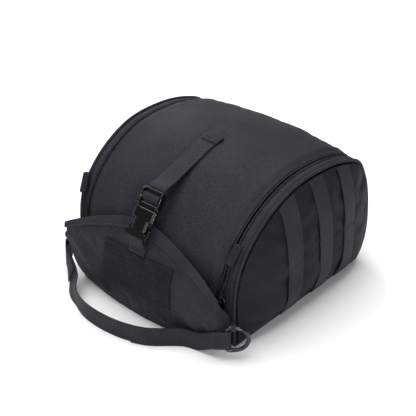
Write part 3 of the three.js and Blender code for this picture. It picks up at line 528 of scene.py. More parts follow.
def make_piece(name, shape, material, replaces=()):
    """Puts a shape into the scene as one smooth mesh that rides on the bag."""
    points, faces, places, worn = shape
    mesh = bpy.data.meshes.new(name)
    mesh.from_pydata((points * MM).tolist(), [], faces)
    layer = mesh.uv_layers.new(name="cloth")
    layer.data.foreach_set("uv", np.concatenate([np.asarray(p, float) for p in places]).ravel())
    attribute = mesh.attributes.new("worn", "FLOAT", "POINT")
    attribute.data.foreach_set("value", worn.astype(np.float32))
    mesh.polygons.foreach_set("use_smooth", [True] * len(faces))
    mesh.validate()
    mesh.set_sharp_from_angle(angle=np.radians(50))
    mesh.materials.append(material)
    piece = add_object(name, mesh)
    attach(piece, "root")
    if replaces:
        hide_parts(*replaces)
    return piece


def sew(name, rows):
    """Rows of stitches as one piece of thread."""
    make_piece(name, joined(rows), THREAD)


def tack(at, out, length):
    """A row of close stitches right across a strap, square to it."""
    line = at + np.linspace(-11, 11, 12)[:, None] * (1, 0, 0)
    return stitches(line, out, 1.0, length, 0.4, turned=True)


def padded_panel(name, shape, stands_for, material=None):
    piece = make_piece(name, shape, material or CLOTH, [stands_for])


# Cloth

def settle(face, held, growth, cap):
    """Lets a grid of points settle as cloth that is cut too large, with soft filling behind it.

    held marks the points that seams and bands hold down. No point moves further than the cap.
    """
    numbers = numbered(face.shape[:2])
    cells = quads(numbers, face[..., :2])[0]
    turned = np.cross(face[1:, 1:] - face[:-1, :-1], face[:-1, 1:] - face[1:, :-1])
    if (turned * grid_normals(face)[1:, 1:]).sum() < 0:
        cells = cells[:, ::-1]
    mesh = bpy.data.meshes.new("settling_cloth")
    mesh.from_pydata((face.reshape(-1, 3) * MM).tolist(), [], cells.tolist())
    piece = add_object("settling_cloth", mesh)
    piece.vertex_groups.new(name="held").add(numbers[held].tolist(), 1.0, "REPLACE")
    cloth = piece.modifiers.new("settle", "CLOTH")
    cloth.settings.quality = 6
    cloth.settings.mass = CLOTH_MASS
    cloth.settings.tension_stiffness = 5
    cloth.settings.compression_stiffness = 5
    cloth.settings.shear_stiffness = 2
    cloth.settings.bending_stiffness = 0.05
    cloth.settings.use_pressure = True
    cloth.settings.uniform_pressure_force = CLOTH_PRESSURE
    cloth.settings.shrink_min = -growth
    cloth.settings.vertex_group_mass = "held"
    cloth.settings.effector_weights.gravity = 0
    cloth.collision_settings.use_collision = False
    cloth.point_cache.frame_start = 1
    cloth.point_cache.frame_end = SETTLE_STEPS
    for step in range(1, SETTLE_STEPS + 1):
        bpy.context.scene.frame_set(step)
    settled = piece.evaluated_get(bpy.context.evaluated_depsgraph_get()).data
    places = np.empty(face.size, np.float32)
    settled.vertices.foreach_get("co", places)
    bpy.data.objects.remove(piece)
    bpy.data.meshes.remove(mesh)
    bpy.context.scene.frame_set(1)
    moved = places.reshape(face.shape).astype(float) / MM - face
    reach = np.linalg.norm(moved, axis=2, keepdims=True).clip(1e-6)
    return face + moved * np.tanh(reach / cap) * cap / reach


def border(face, rings=1):
    """Marks the outermost points of a grid."""
    held = np.ones(face.shape[:2], bool)
    held[rings:-rings, rings:-rings] = False
    return held


# Materials

def linear(hex_colour):
    """An sRGB hex colour as the linear one that the shader needs."""
    channels = np.array([int(hex_colour[k : k + 2], 16) for k in (1, 3, 5)]) / 255
    light = np.where(channels <= 0.04045, channels / 12.92, ((channels + 0.055) / 1.055) ** 2.4)
    return (*light.tolist(), 1.0)


def node(tree, kind, inputs=None, **settings):
    """Adds a node with its settings, and links or sets its inputs."""
    made = tree.nodes.new(kind)
    for key, value in settings.items():
        setattr(made, key, value)
    for socket, value in (inputs or {}).items():
        if isinstance(value, bpy.types.NodeSocket):
            tree.links.new(value, made.inputs[socket])
        else:
            made.inputs[socket].default_value = value
    return made


def start_material(name, **shader_values):
    """An empty material with one Principled shader, whose plain sockets are set here."""
    material = bpy.data.materials.new(name)
    material.use_nodes = True
    tree = material.node_tree
    tree.nodes.clear()
    shader = node(tree, "ShaderNodeBsdfPrincipled")
    for socket, value in shader_values.items():
        shader.inputs[socket.replace("_", " ")].default_value = value
    node(tree, "ShaderNodeOutputMaterial", {"Surface": shader.outputs[0]})
    return material, tree, shader


def finish_surface(tree, shader, factor, dark, light, height=None, relief=0.0):
    """Colour between two shades by a factor, and a bump from a height of so many millimetres."""
    colour = node(
        tree, "ShaderNodeMix", {"Factor": factor, 6: linear(dark), 7: linear(light)},
        data_type="RGBA",
    )
    tree.links.new(colour.outputs[2], shader.inputs["Base Color"])
    if height is not None:
        bump = node(
            tree, "ShaderNodeBump", {"Strength": 1.0, "Distance": relief * MM, "Height": height}
        )
        tree.links.new(bump.outputs[0], shader.inputs["Normal"])


def thread_wave(tree, coordinate, pitch):
    """A sine of a place on the cloth, one wave a pitch."""
    turned = node(
        tree, "ShaderNodeMath", {0: coordinate, 1: 2 * np.pi / pitch}, operation="MULTIPLY"
    )
    return node(tree, "ShaderNodeMath", {0: turned.outputs[0]}, operation="SINE").outputs[0]


def cloth_places(tree):
    """Place on the cloth in millimetres: both together, across it and along it."""
    places = node(tree, "ShaderNodeUVMap", uv_map="cloth").outputs[0]
    split = node(tree, "ShaderNodeSeparateXYZ", {0: places})
    return places, split.outputs[0], split.outputs[1]


def finish_cloth(tree, shader, height, dark, light, relief, mottle):
    """Colour and bump of a cloth from the height of its threads, 0 in the gaps and 1 on top.

    Thread tops are painted lighter and the gaps between them darker: painted light and shade of the
    weave. Worn edges are lighter, and slow noise makes the dye uneven.
    """
    position = node(tree, "ShaderNodeTexCoord").outputs["Object"]
    cloud = node(tree, "ShaderNodeTexNoise", {"Vector": position, "Scale": 22.0, "Detail": 5.0})
    worn = node(tree, "ShaderNodeAttribute", attribute_name="worn").outputs["Fac"]
    uneven = node(
        tree, "ShaderNodeMapRange", {0: cloud.outputs[0], 1: 0.3, 2: 0.7, 3: -mottle, 4: mottle}
    )
    raised = node(tree, "ShaderNodeMath", {0: height, 1: uneven.outputs[0]}, operation="ADD")
    # The colour factor holds real wear and dye mottle together with the weave's painted light and
    # shade.
    wear_and_weave_shade = node(
        tree, "ShaderNodeMath", {0: worn, 1: 0.12, 2: raised.outputs[0]},
        operation="MULTIPLY_ADD", use_clamp=True,
    )
    finish_surface(tree, shader, wear_and_weave_shade.outputs[0], dark, light, height, relief)


def pack_cloth(name, dark, light):
    """Coated plain-weave nylon: a fine even grain with a soft grey sheen."""
    material, tree, shader = start_material(
        name, Roughness=0.62, Sheen_Weight=0.015, Sheen_Roughness=0.4,
        IOR=1.53, Specular_IOR_Level=0.09,
    )
    places, across, along = cloth_places(tree)
    # Real threads lie about 0.7 mm apart; here they lie 1.1 mm apart so that they show.
    warp, weft = thread_wave(tree, across, 1.1), thread_wave(tree, along, 1.1)
    cross = node(tree, "ShaderNodeMath", {0: warp, 1: weft}, operation="MULTIPLY").outputs[0]
    height = node(tree, "ShaderNodeMapRange", {0: cross, 1: -1.0, 2: 1.0, 3: 0.0, 4: 0.5})
    height = height.outputs[0]
    # Thick and thin places of the yarn run on for some threads' width along warp and weft.
    for stretch in ((0.25, 1.0, 1.0), (1.0, 0.25, 1.0)):
        drawn = node(tree, "ShaderNodeVectorMath", {0: places, 1: stretch}, operation="MULTIPLY")
        slub = node(
            tree, "ShaderNodeTexNoise", {"Vector": drawn.outputs[0], "Scale": 1.0, "Detail": 2.0}
        )
        spread = node(
            tree, "ShaderNodeMapRange", {0: slub.outputs[0], 1: 0.3, 2: 0.7, 3: -0.12, 4: 0.43}
        )
        height = node(tree, "ShaderNodeMath", {0: height, 1: spread.outputs[0]}, operation="ADD")
        height = height.outputs[0]
    # The weave's height also sets the colour: raised threads painted lighter and gaps darker, as
    # painted light and shade.
    finish_cloth(tree, shader, height, dark, light, 0.2, 0.14)
    return material


def webbing_cloth(name, dark, light, pitch, relief, roughness=0.6):
    """Woven nylon tape: ribs right across it, broken up by its lengthways threads."""
    material, tree, shader = start_material(
        name, Roughness=roughness, Sheen_Weight=0.015, Sheen_Roughness=0.4, IOR=1.53,
        Specular_IOR_Level=0.12,
    )
    _, across, along = cloth_places(tree)
    rib = thread_wave(tree, along, pitch)
    thread = thread_wave(tree, across, 1.3)
    slow = node(tree, "ShaderNodeMath", {0: thread, 1: 0.35, 2: rib}, operation="MULTIPLY_ADD")
    height = node(
        tree, "ShaderNodeMapRange", {0: slow.outputs[0], 1: -1.35, 2: 1.35, 3: 0.0, 4: 1.0}
    )
    # Rib tops are painted lighter and the grooves between ribs darker, as painted light and shade.
    finish_cloth(tree, shader, height.outputs[0], dark, light, relief, 0.25)
    return material


def loop_pile():
    """Knitted loop pile: matt, rough and the darkest cloth, since light is lost between loops."""
    material, tree, shader = start_material(
        "loop_pile_knitted_nylon", Roughness=0.95, Sheen_Weight=0.02, Sheen_Roughness=0.6, IOR=1.53,
        Specular_IOR_Level=0.1,
    )
    position = node(tree, "ShaderNodeTexCoord").outputs["Object"]
    loops = node(tree, "ShaderNodeTexVoronoi", {"Vector": position, "Scale": 700.0})
    height = node(tree, "ShaderNodeMapRange", {0: loops.outputs[0], 1: 0.0, 2: 0.8, 3: 1.0, 4: 0.0})
    finish_cloth(tree, shader, height.outputs[0], "#0e0e12", "#2a2b32", 0.3, 0.2)
    return material


def moulded(name, dark, light, roughness, grain, relief, specular=0.5):
    """Moulded plastic or rubber: one colour with faint flow marks and the mould's fine grain."""
    material, tree, shader = start_material(
        name, IOR=1.48, Specular_IOR_Level=specular, Roughness=roughness,
    )
    position = node(tree, "ShaderNodeTexCoord").outputs["Object"]
    flow = node(tree, "ShaderNodeTexNoise", {"Vector": position, "Scale": 60.0, "Detail": 3.0})
    spark = node(
        tree, "ShaderNodeTexNoise", {"Vector": position, "Scale": 1 / MM / grain, "Detail": 2.0}
    )
    finish_surface(tree, shader, flow.outputs[0], dark, light, spark.outputs[0], relief)
    return material


def plated_steel():
    """Black-nickel plated wire: a dark mirror, dulled unevenly by handling."""
    material, tree, shader = start_material("black_nickel_plated_steel", Metallic=1.0)
    position = node(tree, "ShaderNodeTexCoord").outputs["Object"]
    smear = node(tree, "ShaderNodeTexNoise", {"Vector": position, "Scale": 180.0, "Detail": 6.0})
    dull = node(tree, "ShaderNodeMapRange", {0: smear.outputs[0], 1: 0.3, 2: 0.7, 3: 0.2, 4: 0.36})
    tree.links.new(dull.outputs[0], shader.inputs["Roughness"])
    finish_surface(tree, shader, smear.outputs[0], "#303238", "#4d5056")
    return material


CLOTH = pack_cloth("pack_cloth_plain_weave_nylon", "#17171c", "#303138")
# The ends use the same nylon as the rest in darker shades: painted shade over the ends.
SHADED_END_CLOTH = pack_cloth("end_cloth_painted_shade_nylon", "#0f0f15", "#202129")
WEBBING = webbing_cloth("webbing_woven_nylon", "#141419", "#2d2e35", 2.0, 0.3)
TAPE = webbing_cloth("zip_tape_woven_polyester", "#131318", "#26272e", 1.5, 0.2, 0.7)
BINDING = webbing_cloth("grosgrain_binding_nylon", "#17181d", "#2e2f37", 1.6, 0.22)
CORD = webbing_cloth("braided_cord_polyester", "#0e0e12", "#222228", 1.7, 0.35)
THREAD = webbing_cloth("bonded_nylon_thread", "#25262c", "#3a3b43", 0.7, 0.05, 0.5)
PILE = loop_pile()
ACETAL = moulded("buckle_moulded_acetal", "#060607", "#09090a", 0.14, 0.5, 0.003)
COIL = moulded("zip_coil_drawn_nylon", "#070708", "#0d0d0f", 0.35, 0.4, 0.01)
RUBBER = moulded("grip_moulded_rubber", "#16171b", "#24252b", 0.62, 0.7, 0.05, 0.15)
STEEL = plated_steel()


# Arched panels, gussets and zips

def skin_grid(start, end, near, far, edge, step, columns_step, lift):
    """Outer face of a strip of the skin between two distances from the middle.

    Rows follow the rim between two shares of its length. near and far give each edge's side of
    the bag and its distance in from the rim. lift moves the face, by a set amount or by the run
    along it and the distance to its nearest side.
    """
    length = (end - start) * ARCH_LENGTH
    station = start + (end - start) * spaced(length, edge, step)
    height = rim(station)[1]
    low, high = (side * (half_width(height) - inset)[:, None] for side, inset in (near, far))
    share = spaced(float(np.abs(high - low).mean()), edge, columns_step)
    across = low + (high - low) * share
    if callable(lift):
        to_side = np.minimum(np.abs(across - low), np.abs(across - high))
        lift = lift(station[:, None] * ARCH_LENGTH + 0 * across, across, to_side)
    return skin(station[:, None], across, lift)


def padded_lift(seed):
    """Lift of a padded panel: slow unevenness, a sunk stitch line and puckers beside its seams."""
    def lift(run, across, to_side):
        inside = (to_side / 14).clip(0, 1)
        soft = 0.9 * ripple(run, across, 75, seed) * inside
        draw = 0.35 * ripple(run, across * 0.2, 13, seed + 1) * np.exp(-to_side / 8)
        seam = -0.9 * hump(to_side - STITCH_ROW, 1.3) + 0.7 * hump(to_side - 11, 4)
        return soft + draw + seam
    return lift


def row_on_skin(start, end, side, inset, lift):
    """A line over the skin at a distance in from one rim, and its normals."""
    station = np.linspace(start, end, int((end - start) * ARCH_LENGTH / 2) + 2)
    y, z, along_y, along_z = rim(station)
    line = skin(station, side * (half_width(z) - inset), lift)
    return line, spots(0, -along_z, along_y)


def build_skin():
    lid = skin_grid(
        ZIP_FRONT, ZIP_BACK, (-1, LID_FROM), (1, LID_FROM), 0.7, 3.2, 3.2, padded_lift(3)
    )
    under_strap = (np.abs(lid[..., 0]) < UNDER_STRAP) & (lid[..., 1] < ANCHOR_ALONG + 12)
    to_zip = half_width(lid[..., 2]) - LID_FROM - np.abs(lid[..., 0])
    sewn = np.abs(to_zip - STITCH_ROW) < 1.7
    lid = settle(lid, border(lid, 5) | under_strap | sewn, 0.02, 2.5)
    padded_panel("lid_cloth", pad(lid, WALL, 0.7), "lid_panel")
    gap = GAP / ARCH_LENGTH
    wide = (-1, ZIP_FROM), (1, ZIP_FROM)
    front = skin_grid(0, ZIP_FRONT - gap, *wide, 1.6, 3.2, 3.2, padded_lift(5))
    front = settle(front, border(front, 5), 0.01, 1.5)
    padded_panel("front_cloth", pad(front, WALL, 1.6), "front_panel")
    rear_zip = ZIP_BACK + gap
    rear_from = rear_zip + ZIP_WIDTH / ARCH_LENGTH + gap
    rear = skin_grid(rear_from, 1, *wide, 1.6, 3.2, 3.2, padded_lift(7))
    rear = settle(rear, border(rear, 5), 0.02, 3)
    padded_panel("rear_cloth", pad(rear, WALL, 1.6), "rear_panel")
    sew("lid_stitching", [
        stitches(*row_on_skin(ZIP_FRONT, ZIP_BACK, side, LID_FROM + STITCH_ROW, -0.65))
        for _, side in SIDES
    ])
    tape = skin_grid(rear_zip, rear_from - gap, *wide, 0.7, 0.8, 3.0, -0.8)
    make_piece("rear_zip_tape", pad(tape, 2.0, 0.7), TAPE, ["zip_rear"])
    for word, side in SIDES:
        build_gusset(word, side)
        build_zip(word, side)


def build_gusset(word, side):
    """The strip beside a rim seam: a low roll along its middle and a groove at each stitch row."""
    def lift(run, across, to_side):
        roll = 0.5 * hump(to_side - 4.7, 2.2) - 0.5 * hump(to_side - 1.9, 0.7)
        return roll + 0.22 * ripple(run, across * 0.3, 12, 11) - 0.3
    strip = skin_grid(0, 1, (side, GUSSET_FROM), (side, GUSSET_TO), 0.7, 2.6, 0.8, lift)
    make_piece(
        "gusset_tape_" + word, pad(strip, WALL, 0.7), BINDING, ["gusset_" + word]
    )
    sew("gusset_stitching_" + word, [
        stitches(*row_on_skin(0.01, 0.98, side, inset, -0.5))
        for inset in (GUSSET_FROM + 1.9, GUSSET_TO - 1.9)
    ])


def build_zip(word, side):
    """Two tape halves that meet over a sunk row of coil turns."""
    halves = [
        pad(skin_grid(
            ZIP_FRONT, ZIP_BACK, (side, first), (side, last), 0.6, 2.6, 0.7, -0.3,
        ), 1.5, 0.6)
        for first, last in ((ZIP_FROM, ZIP_MIDDLE - 1.1), (ZIP_MIDDLE + 1.1, ZIP_TO))
    ]
    make_piece("zip_tape_" + word, joined(halves), TAPE, ["zip_" + word])
    line, out = row_on_skin(ZIP_FRONT, ZIP_BACK, side, ZIP_MIDDLE, -2.0)
    coil = stitches(line, out, pitch=1.5, length=2.0, radius=0.55, turned=True)
    make_piece("zip_coil_" + word, coil, COIL)


# Ends

def end_grid(side, inset, lift):
    """Outer face of a domed end: a patch blended between four stretches of its outline.

    Each inner point is the blend of the front and back edges, plus the blend of the floor and top
    edges, less the blend of the four corners.
    """
    arc = end_outline(inset, 1201)
    front, over, back = arc[:331], arc[330:901], arc[900:][::-1]
    floor = np.stack([arc[0], arc[-1]])
    up = spaced(120, 1.6, 3.4)
    along = spaced(260, 1.6, 3.4)
    def read(line, shares):
        return read_at(shares, np.linspace(0, 1, 600), resample(line, 600))
    f, b = read(front, up)[:, None], read(back, up)[:, None]
    low, high = read(floor, along)[None], read(over, along)[None]
    u, v = along[None, :, None], up[:, None, None]
    flat = (1 - u) * f + u * b + (1 - v) * low + v * high
    flat = flat - (1 - u) * (1 - v) * f[0] - u * (1 - v) * b[0]
    flat = flat - (1 - u) * v * f[-1] - u * v * b[-1]
    y, z = flat[..., 0], flat[..., 1]
    return end_point(side, y, z, lift(y, z))


def band_edges(top, bottom, offset):
    """Foot and head of one line up a band, at an offset back from its front edge."""
    foot = np.array([bottom * HALF_DEPTH + offset, PIPING_LIFT + 3 * PIPING_RADIUS])
    head_y = top * HALF_DEPTH + offset
    head = np.array([head_y, rim(along_station(head_y))[1] - 1.4 * PIPING_RADIUS])
    return foot, head


def build_ends():
    for word, side in SIDES:
        def lift(y, z):
            soft = 1.1 * ripple(y, z, 70, 21 + side)
            crease = 1.4 * ripple((y + z) * 0.9, (y - z) * 0.25, 34, 31 + side)
            low_front = np.exp(-(((y + 95) / 45) ** 2) - ((z - 50) / 45) ** 2)
            return soft + crease * (0.35 + low_front)
        face = end_grid(side, 2.9, lift)
        held = border(face, 5)
        for top, bottom in BAND_TABLE:
            foot, head = band_edges(top, bottom, 0)
            edge = np.interp(face[..., 2], (foot[1], head[1]), (foot[0], head[0]))
            held |= (face[..., 1] > edge - 1) & (face[..., 1] < edge + WEB_WIDTH + 1)
        face = settle(face, held, 0.02, 3.5)
        # The ends take the darker copy of the cloth, whose darker shades are painted shade.
        padded_panel(
            "end_cloth_" + word, pad(face, WALL, 1.6), "side_panel_" + word, SHADED_END_CLOTH
        )

        arc = end_outline(0, 340)
        floor = np.linspace(arc[-1], arc[0], 100)[1:-1]
        ring = resample(np.vstack([arc, floor, arc[:1]]), 421)[:-1]
        path = spots(side * half_width(ring[:, 1]), ring[:, 0], ring[:, 1])
        section = rounded(2 * PIPING_RADIUS, 2 * PIPING_RADIUS, 2.3, 12)
        make_piece(
            "bound_edge_" + word, sweep(path, section, (1, 0, 0), closed=True), BINDING,
            ["piping_" + word],
        )
        for number, (top, bottom) in enumerate(BAND_TABLE, 1):
            build_band(word, side, number, top, bottom)


def build_band(word, side, number, top, bottom):
    """A webbing band up an end: a grid between the straight lines up both of its edges."""
    foot, head = band_edges(top, bottom, 0)
    length = np.linalg.norm(head - foot)
    up = spaced(length, 0.75, 2.5)
    offsets = spaced(WEB_WIDTH, 0.75, 1.8) * WEB_WIDTH
    edges = [band_edges(top, bottom, offset) for offset in offsets]
    flat = np.stack([foot + (head - foot) * up[:, None] for foot, head in edges], axis=1)
    pinch = (-0.7 * hump((up - 0.5) * length, 4) - 1.2 * hump((1 - up) * length, 5))[:, None]
    face = end_point(side, flat[..., 0], flat[..., 1], 2.7 + pinch)
    make_piece(
        f"end_band_{word}_{number}", pad(face, WEB, 0.75), WEBBING,
        [f"side_band_{word}_{number}"],
    )
    tacks = []
    for share in (0.04, 0.5):
        row_y, row_z = (read_at(share, up, flat[..., k]) for k in (0, 1))
        line = end_point(side, row_y, row_z, 2.75 + np.interp(share, up, pinch[:, 0]))[1:-1]
        tacks.append(stitches(line, (side, 0, 0), 0.9, 2.6, 0.4, turned=True))
    sew(f"band_tacks_{word}_{number}", tacks)


def build_base():
    """A flat padded floor between the walls."""
    width, depth = 2 * FLOOR_HALF_WIDTH, FLOOR_BACK - FLOOR_FRONT
    x = (spaced(width, 1.6, 4) - 0.5) * width
    y = FLOOR_FRONT + depth * spaced(depth, 1.6, 4)
    face = spots(*np.meshgrid(x, y), FLOOR_THICK / 2)
    padded_panel("floor_cloth", pad(face, FLOOR_THICK, 1.6, sink=0.0), "base_panel")


# Front pocket

def pocket_column(index, up):
    """One column of the pocket's table at shares of the height, along a smooth curve."""
    rows = POCKET_TABLE[:, 0]
    slope = np.gradient(POCKET_TABLE[:, index], rows)
    up = np.minimum(up, 1)
    k = (np.searchsorted(rows, up, side="right") - 1).clip(0, len(rows) - 2)
    span = rows[k + 1] - rows[k]
    t = (up - rows[k]) / span
    a, b = POCKET_TABLE[k, index], POCKET_TABLE[k + 1, index]
    return (
        a * (1 + 2 * t) * (1 - t) ** 2 + b * t**2 * (3 - 2 * t)
        + span * (slope[k] * t * (1 - t) ** 2 - slope[k + 1] * t**2 * (1 - t))
    )


def hem_height(across):
    """The pocket's upper edge falls towards both corners, by a power of the share across."""
    fall = {side: dip * np.abs(across) ** power for side, (dip, power) in HEM_DIP.items()}
    return POCKET_PEAK - np.where(across < 0, fall[-1], fall[1])


def pocket_point(across, up):
    """A point of the pocket's front at a share across and a share of the hem's height.

    It stands out by the middle's column, going to the corner's with the square of the share.
    """
    middle = pocket_column(3, up)
    corner = np.where(across < 0, pocket_column(2, up), pocket_column(4, up))
    out = middle + (corner - middle) * across**2
    x = across * POCKET_HALF * pocket_column(1, up)
    y = -HALF_DEPTH - POCKET_DEPTH * out
    return spots(x, y, up * hem_height(across))


def pocket_side(side, back, up):
    """The pocket's side, from its front corner back to the rim seam, drawn in a little."""
    corner = pocket_point(np.full_like(up, side), up)
    seam_y = rim(front_station(up * POCKET_SEAM))[0] - PIPING_RADIUS - GAP - 2
    seam = spots(side * SEAM_ACROSS, seam_y, up * POCKET_SEAM)
    point = corner + (seam - corner) * back[..., None]
    point[..., 0] -= side * 3 * np.sin(np.pi * back) * up
    return point


def pocket_at(x, height):
    """The pocket's front at an X and a height; the share across is settled in four steps."""
    share = x / POCKET_HALF
    for _ in range(4):
        share = x / (POCKET_HALF * pocket_column(1, height / hem_height(share)))
    return pocket_point(share, height / hem_height(share))


def fold_height(x, z):
    """Sum of the folds: each a bell across its line, faded in and out along it."""
    total = 0 * x
    for x0, z0, x1, z1, width, height in POCKET_FOLDS:
        along = np.array([x1 - x0, z1 - z0], float)
        length = np.hypot(*along)
        along /= length
        t = (x - x0) * along[0] + (z - z0) * along[1]
        bow = 3 * np.sin(np.pi * (t / length).clip(0, 1))
        aside = (x - x0) * along[1] - (z - z0) * along[0] + bow
        total = total + height * hump(aside, width) * np.exp(-(((t / length - 0.5) / 0.42) ** 4))
    return total


def pocket_grid(ups):
    """Outer face of the pouch: its left side, its front and its right side in one grid."""
    backs = np.linspace(0, 1, 12)[1:]
    across = np.linspace(-1, 1, 97)
    up = ups[:, None]
    left = pocket_side(-1, backs[::-1][None] + 0 * up, up + 0 * backs[None])
    front = pocket_point(across[None] + 0 * up, up + 0 * across[None])
    right = pocket_side(1, backs[None] + 0 * up, up + 0 * backs[None])
    face = np.concatenate([left, front, right], axis=1)
    for _ in range(3):
        face[:, 1:-1] = 0.25 * face[:, :-2] + 0.5 * face[:, 1:-1] + 0.25 * face[:, 2:]
    x, z = face[..., 0], face[..., 2]
    inside = (np.minimum(ups, 1) * 6).clip(0, 1)[:, None] * ((1 - ups) * 7).clip(0, 1)[:, None]
    edge = np.minimum(np.arange(face.shape[1]), np.arange(face.shape[1])[::-1])
    inside = inside * (edge / 5).clip(0, 1)[None]
    relief = (fold_height(x, z) + 0.8 * ripple(x + face[..., 1], z, 34, 51)) * inside
    return face + grid_normals(face) * relief[..., None]


def build_pocket():
    ups = spaced(110, 1.0, 2.2)
    face = pocket_grid(ups)
    x, z = face[..., 0], face[..., 2]
    held = (np.abs(x) < PATCH[0] / 2 + 2) & (np.abs(z - PATCH_MIDDLE) < PATCH[1] / 2 + 2)
    held |= (np.abs(x) < UNDER_STRAP) & (z > PATCH_MIDDLE)
    held |= (ups > 0.89)[:, None] | (ups < 0.12)[:, None]
    face = settle(face, border(face, 5) | held, 0.02, 2.5)
    piece = make_piece(
        "pocket_cloth", pad(face, POCKET_WALL, 0.8), CLOTH, ["front_pocket"]
    )

    across = 2 * spaced(260, 1.0, 2.4) - 1
    up = 0.9 + 0.1 * spaced(11, 0.9, 0.8)
    hem = pocket_point(across[None] + 0 * up[:, None], up[:, None] + 0 * across[None])
    lift = 1.7 + 0.25 * ripple(hem[..., 0], hem[..., 2], 16, 61)
    hem = hem + grid_normals(hem) * lift[..., None]
    make_piece("hem_binding", pad(hem, 1.8, 0.9), BINDING, ["pocket_hem"])
    line = pocket_point(across, np.full_like(across, 0.917))
    out = grid_normals(hem)[2]
    sew("hem_stitching", [stitches(line + out * 1.75, out, 3.6, 2.6, 0.5)])

    floor_x = (spaced(200, 0.8, 6) - 0.5) * 2
    row = pocket_point(0.9 * floor_x, 0 * floor_x)
    depth = spaced(30, 0.8, 4)[:, None, None]
    back = row.copy()
    back[:, 1] = -HALF_DEPTH - 1.0
    row[:, 1] += 4
    row[:, 1] = np.minimum(row[:, 1], -HALF_DEPTH - 2.5)
    floor = row[None] + (back - row)[None] * depth
    floor[..., 2] = 1.3
    floor = pad(floor, 1.8, 0.8, sink=0.0)
    make_piece("pocket_floor_cloth", floor, CLOTH, ["pocket_floor"])


def build_patch():
    """The loop patch: a pad over the pocket's front whose pile stands up unevenly."""
    x = (spaced(PATCH[0], 0.9, 0.9) - 0.5) * PATCH[0]
    z = PATCH_MIDDLE + (spaced(PATCH[1], 0.9, 0.9) - 0.5) * PATCH[1]
    grid_x, grid_z = np.meshgrid(x, z)
    face = pocket_at(grid_x, grid_z)
    rng = np.random.default_rng(9)
    pile = 0.2 * rng.standard_normal(face.shape[:2]) + 0.12 * ripple(grid_x, grid_z, 16, 71)
    to_edge = np.minimum(
        PATCH[0] / 2 - np.abs(grid_x), PATCH[1] / 2 - np.abs(grid_z - PATCH_MIDDLE)
    )
    pile = np.where(to_edge > 2.2, 0.15 + pile, -0.25 + 0.1 * pile)
    face = face + grid_normals(face) * (2.3 + 0.6 * pile)[..., None]
    make_piece("pile_patch", pad(face, 1.8, 0.9), PILE, ["loop_patch"])


# Straps and buckle

def at_buckle(x, up, out):
    """Points of the buckle's own frame: up the strap and out from the bag."""
    c, s = np.cos(BUCKLE_TILT), np.sin(BUCKLE_TILT)
    y = BUCKLE_CENTRE[0] + up * c - out * s
    z = BUCKLE_CENTRE[1] + up * s + out * c
    return spots(np.asarray(x, float), y, z)


def on_top(distance, lift):
    """Over the middle of the top, at a distance back from the strap's sewn end."""
    return skin(along_station(ANCHOR_ALONG) + distance / ARCH_LENGTH, np.float64(0), lift)


def strap(name, line, stands_for, width=WEB_WIDTH, across=(1.0, 0, 0)):
    """Webbing: a grid between both edges of a middle line, closed into a rounded band."""
    share = spaced(width, 0.7, 1.8) - 0.5
    across = np.broadcast_to(np.asarray(across, float), line.shape)
    grid = line[:, None] + across[:, None] * (share * width)[None, :, None]
    make_piece(name, pad(grid, WEB, 0.7, sink=0.0), WEBBING, [stands_for])


def build_straps():
    turn = (BUCKLE_DEPTH + WEB) / 2 + GAP
    under, over = -turn, turn + GAP
    crossbar = FRAME_FOOT + 2.5 * BUCKLE_BAR + BUCKLE_SLOT
    low_slot = crossbar - (BUCKLE_BAR + BUCKLE_SLOT) / 2
    high_slot = crossbar + (BUCKLE_BAR + BUCKLE_SLOT) / 2
    frame_end = FRAME_TOP + BUCKLE_BAR
    sewn = GAP + WEB / 2
    leaves = on_top(-ANCHOR_LENGTH, sewn + 0.9)
    arrives = at_buckle(0, frame_end, under - LAYER)
    straight = [leaves + (arrives - leaves) * k for k in (0, 0.25, 0.5, 0.75, 1)]
    line = [
        on_top(ANCHOR_LENGTH / 2, sewn), on_top(0, sewn), on_top(-ANCHOR_LENGTH / 2, sewn),
        *straight,
        at_buckle(0, crossbar + 1, under - LAYER), at_buckle(0, low_slot, under - LAYER * 0.4),
        at_buckle(0, low_slot, 0), at_buckle(0, crossbar - 2.4, over),
        at_buckle(0, crossbar + 2.4, over), at_buckle(0, high_slot, 0),
        at_buckle(0, high_slot + 2, under + 0.3), at_buckle(0, frame_end, under),
        arrives + unit(leaves - arrives) * 9 + at_buckle(0, 0, LAYER) - at_buckle(0, 0, 0),
    ]
    strap("upper_webbing", smooth_line(line, 260), "upper_strap")

    level = GAP + WEB / 2 + LAYER
    tab = np.array([on_top(k * ANCHOR_LENGTH, level) for k in np.linspace(-0.5, 0.5, 15)])
    strap("anchor_webbing", tab, "anchor_tab", width=WEB_WIDTH + 1)
    sew("anchor_tacks", [
        tack(on_top(k * ANCHOR_LENGTH, level + WEB / 2), (0, -0.2, 1), 2.2)
        for k in (-0.3, -0.05, 0.3)
    ])

    foot_bar = SOCKET_FOOT + BUCKLE_BAR / 2
    seat = 1 + WEB / 2
    sewn_at = PATCH_MIDDLE + PATCH[1] / 2 + SEWN_ABOVE_PATCH
    def on_pocket(height, lift):
        return pocket_at(np.float64(0), np.float64(height)) - (0, lift, 0)
    angle = np.radians([-90, -45, 0, 45, 90])
    half_turn = at_buckle(0, foot_bar + 0.8 + turn * np.cos(angle), turn * np.sin(angle))
    line = [
        on_pocket(sewn_at, seat), on_pocket(sewn_at + 6, seat), at_buckle(0, foot_bar - 4, -turn),
        *half_turn,
        at_buckle(0, foot_bar - 4, turn), on_pocket(sewn_at + 6, seat + LAYER),
        on_pocket(sewn_at, seat + LAYER),
    ]
    strap("lower_strap", smooth_line(line, 150), "lower_webbing")
    sew("lower_tacks", [
        tack(on_pocket(sewn_at + rise, seat + LAYER + WEB / 2 + 0.1), (0, -1, 0), 2.0)
        for rise in (2.5, 5)
    ])


def to_bag(shape):
    """Takes a shape from the buckle's own frame to the bag's."""
    return at_buckle(*shape[0].T), *shape[1:]


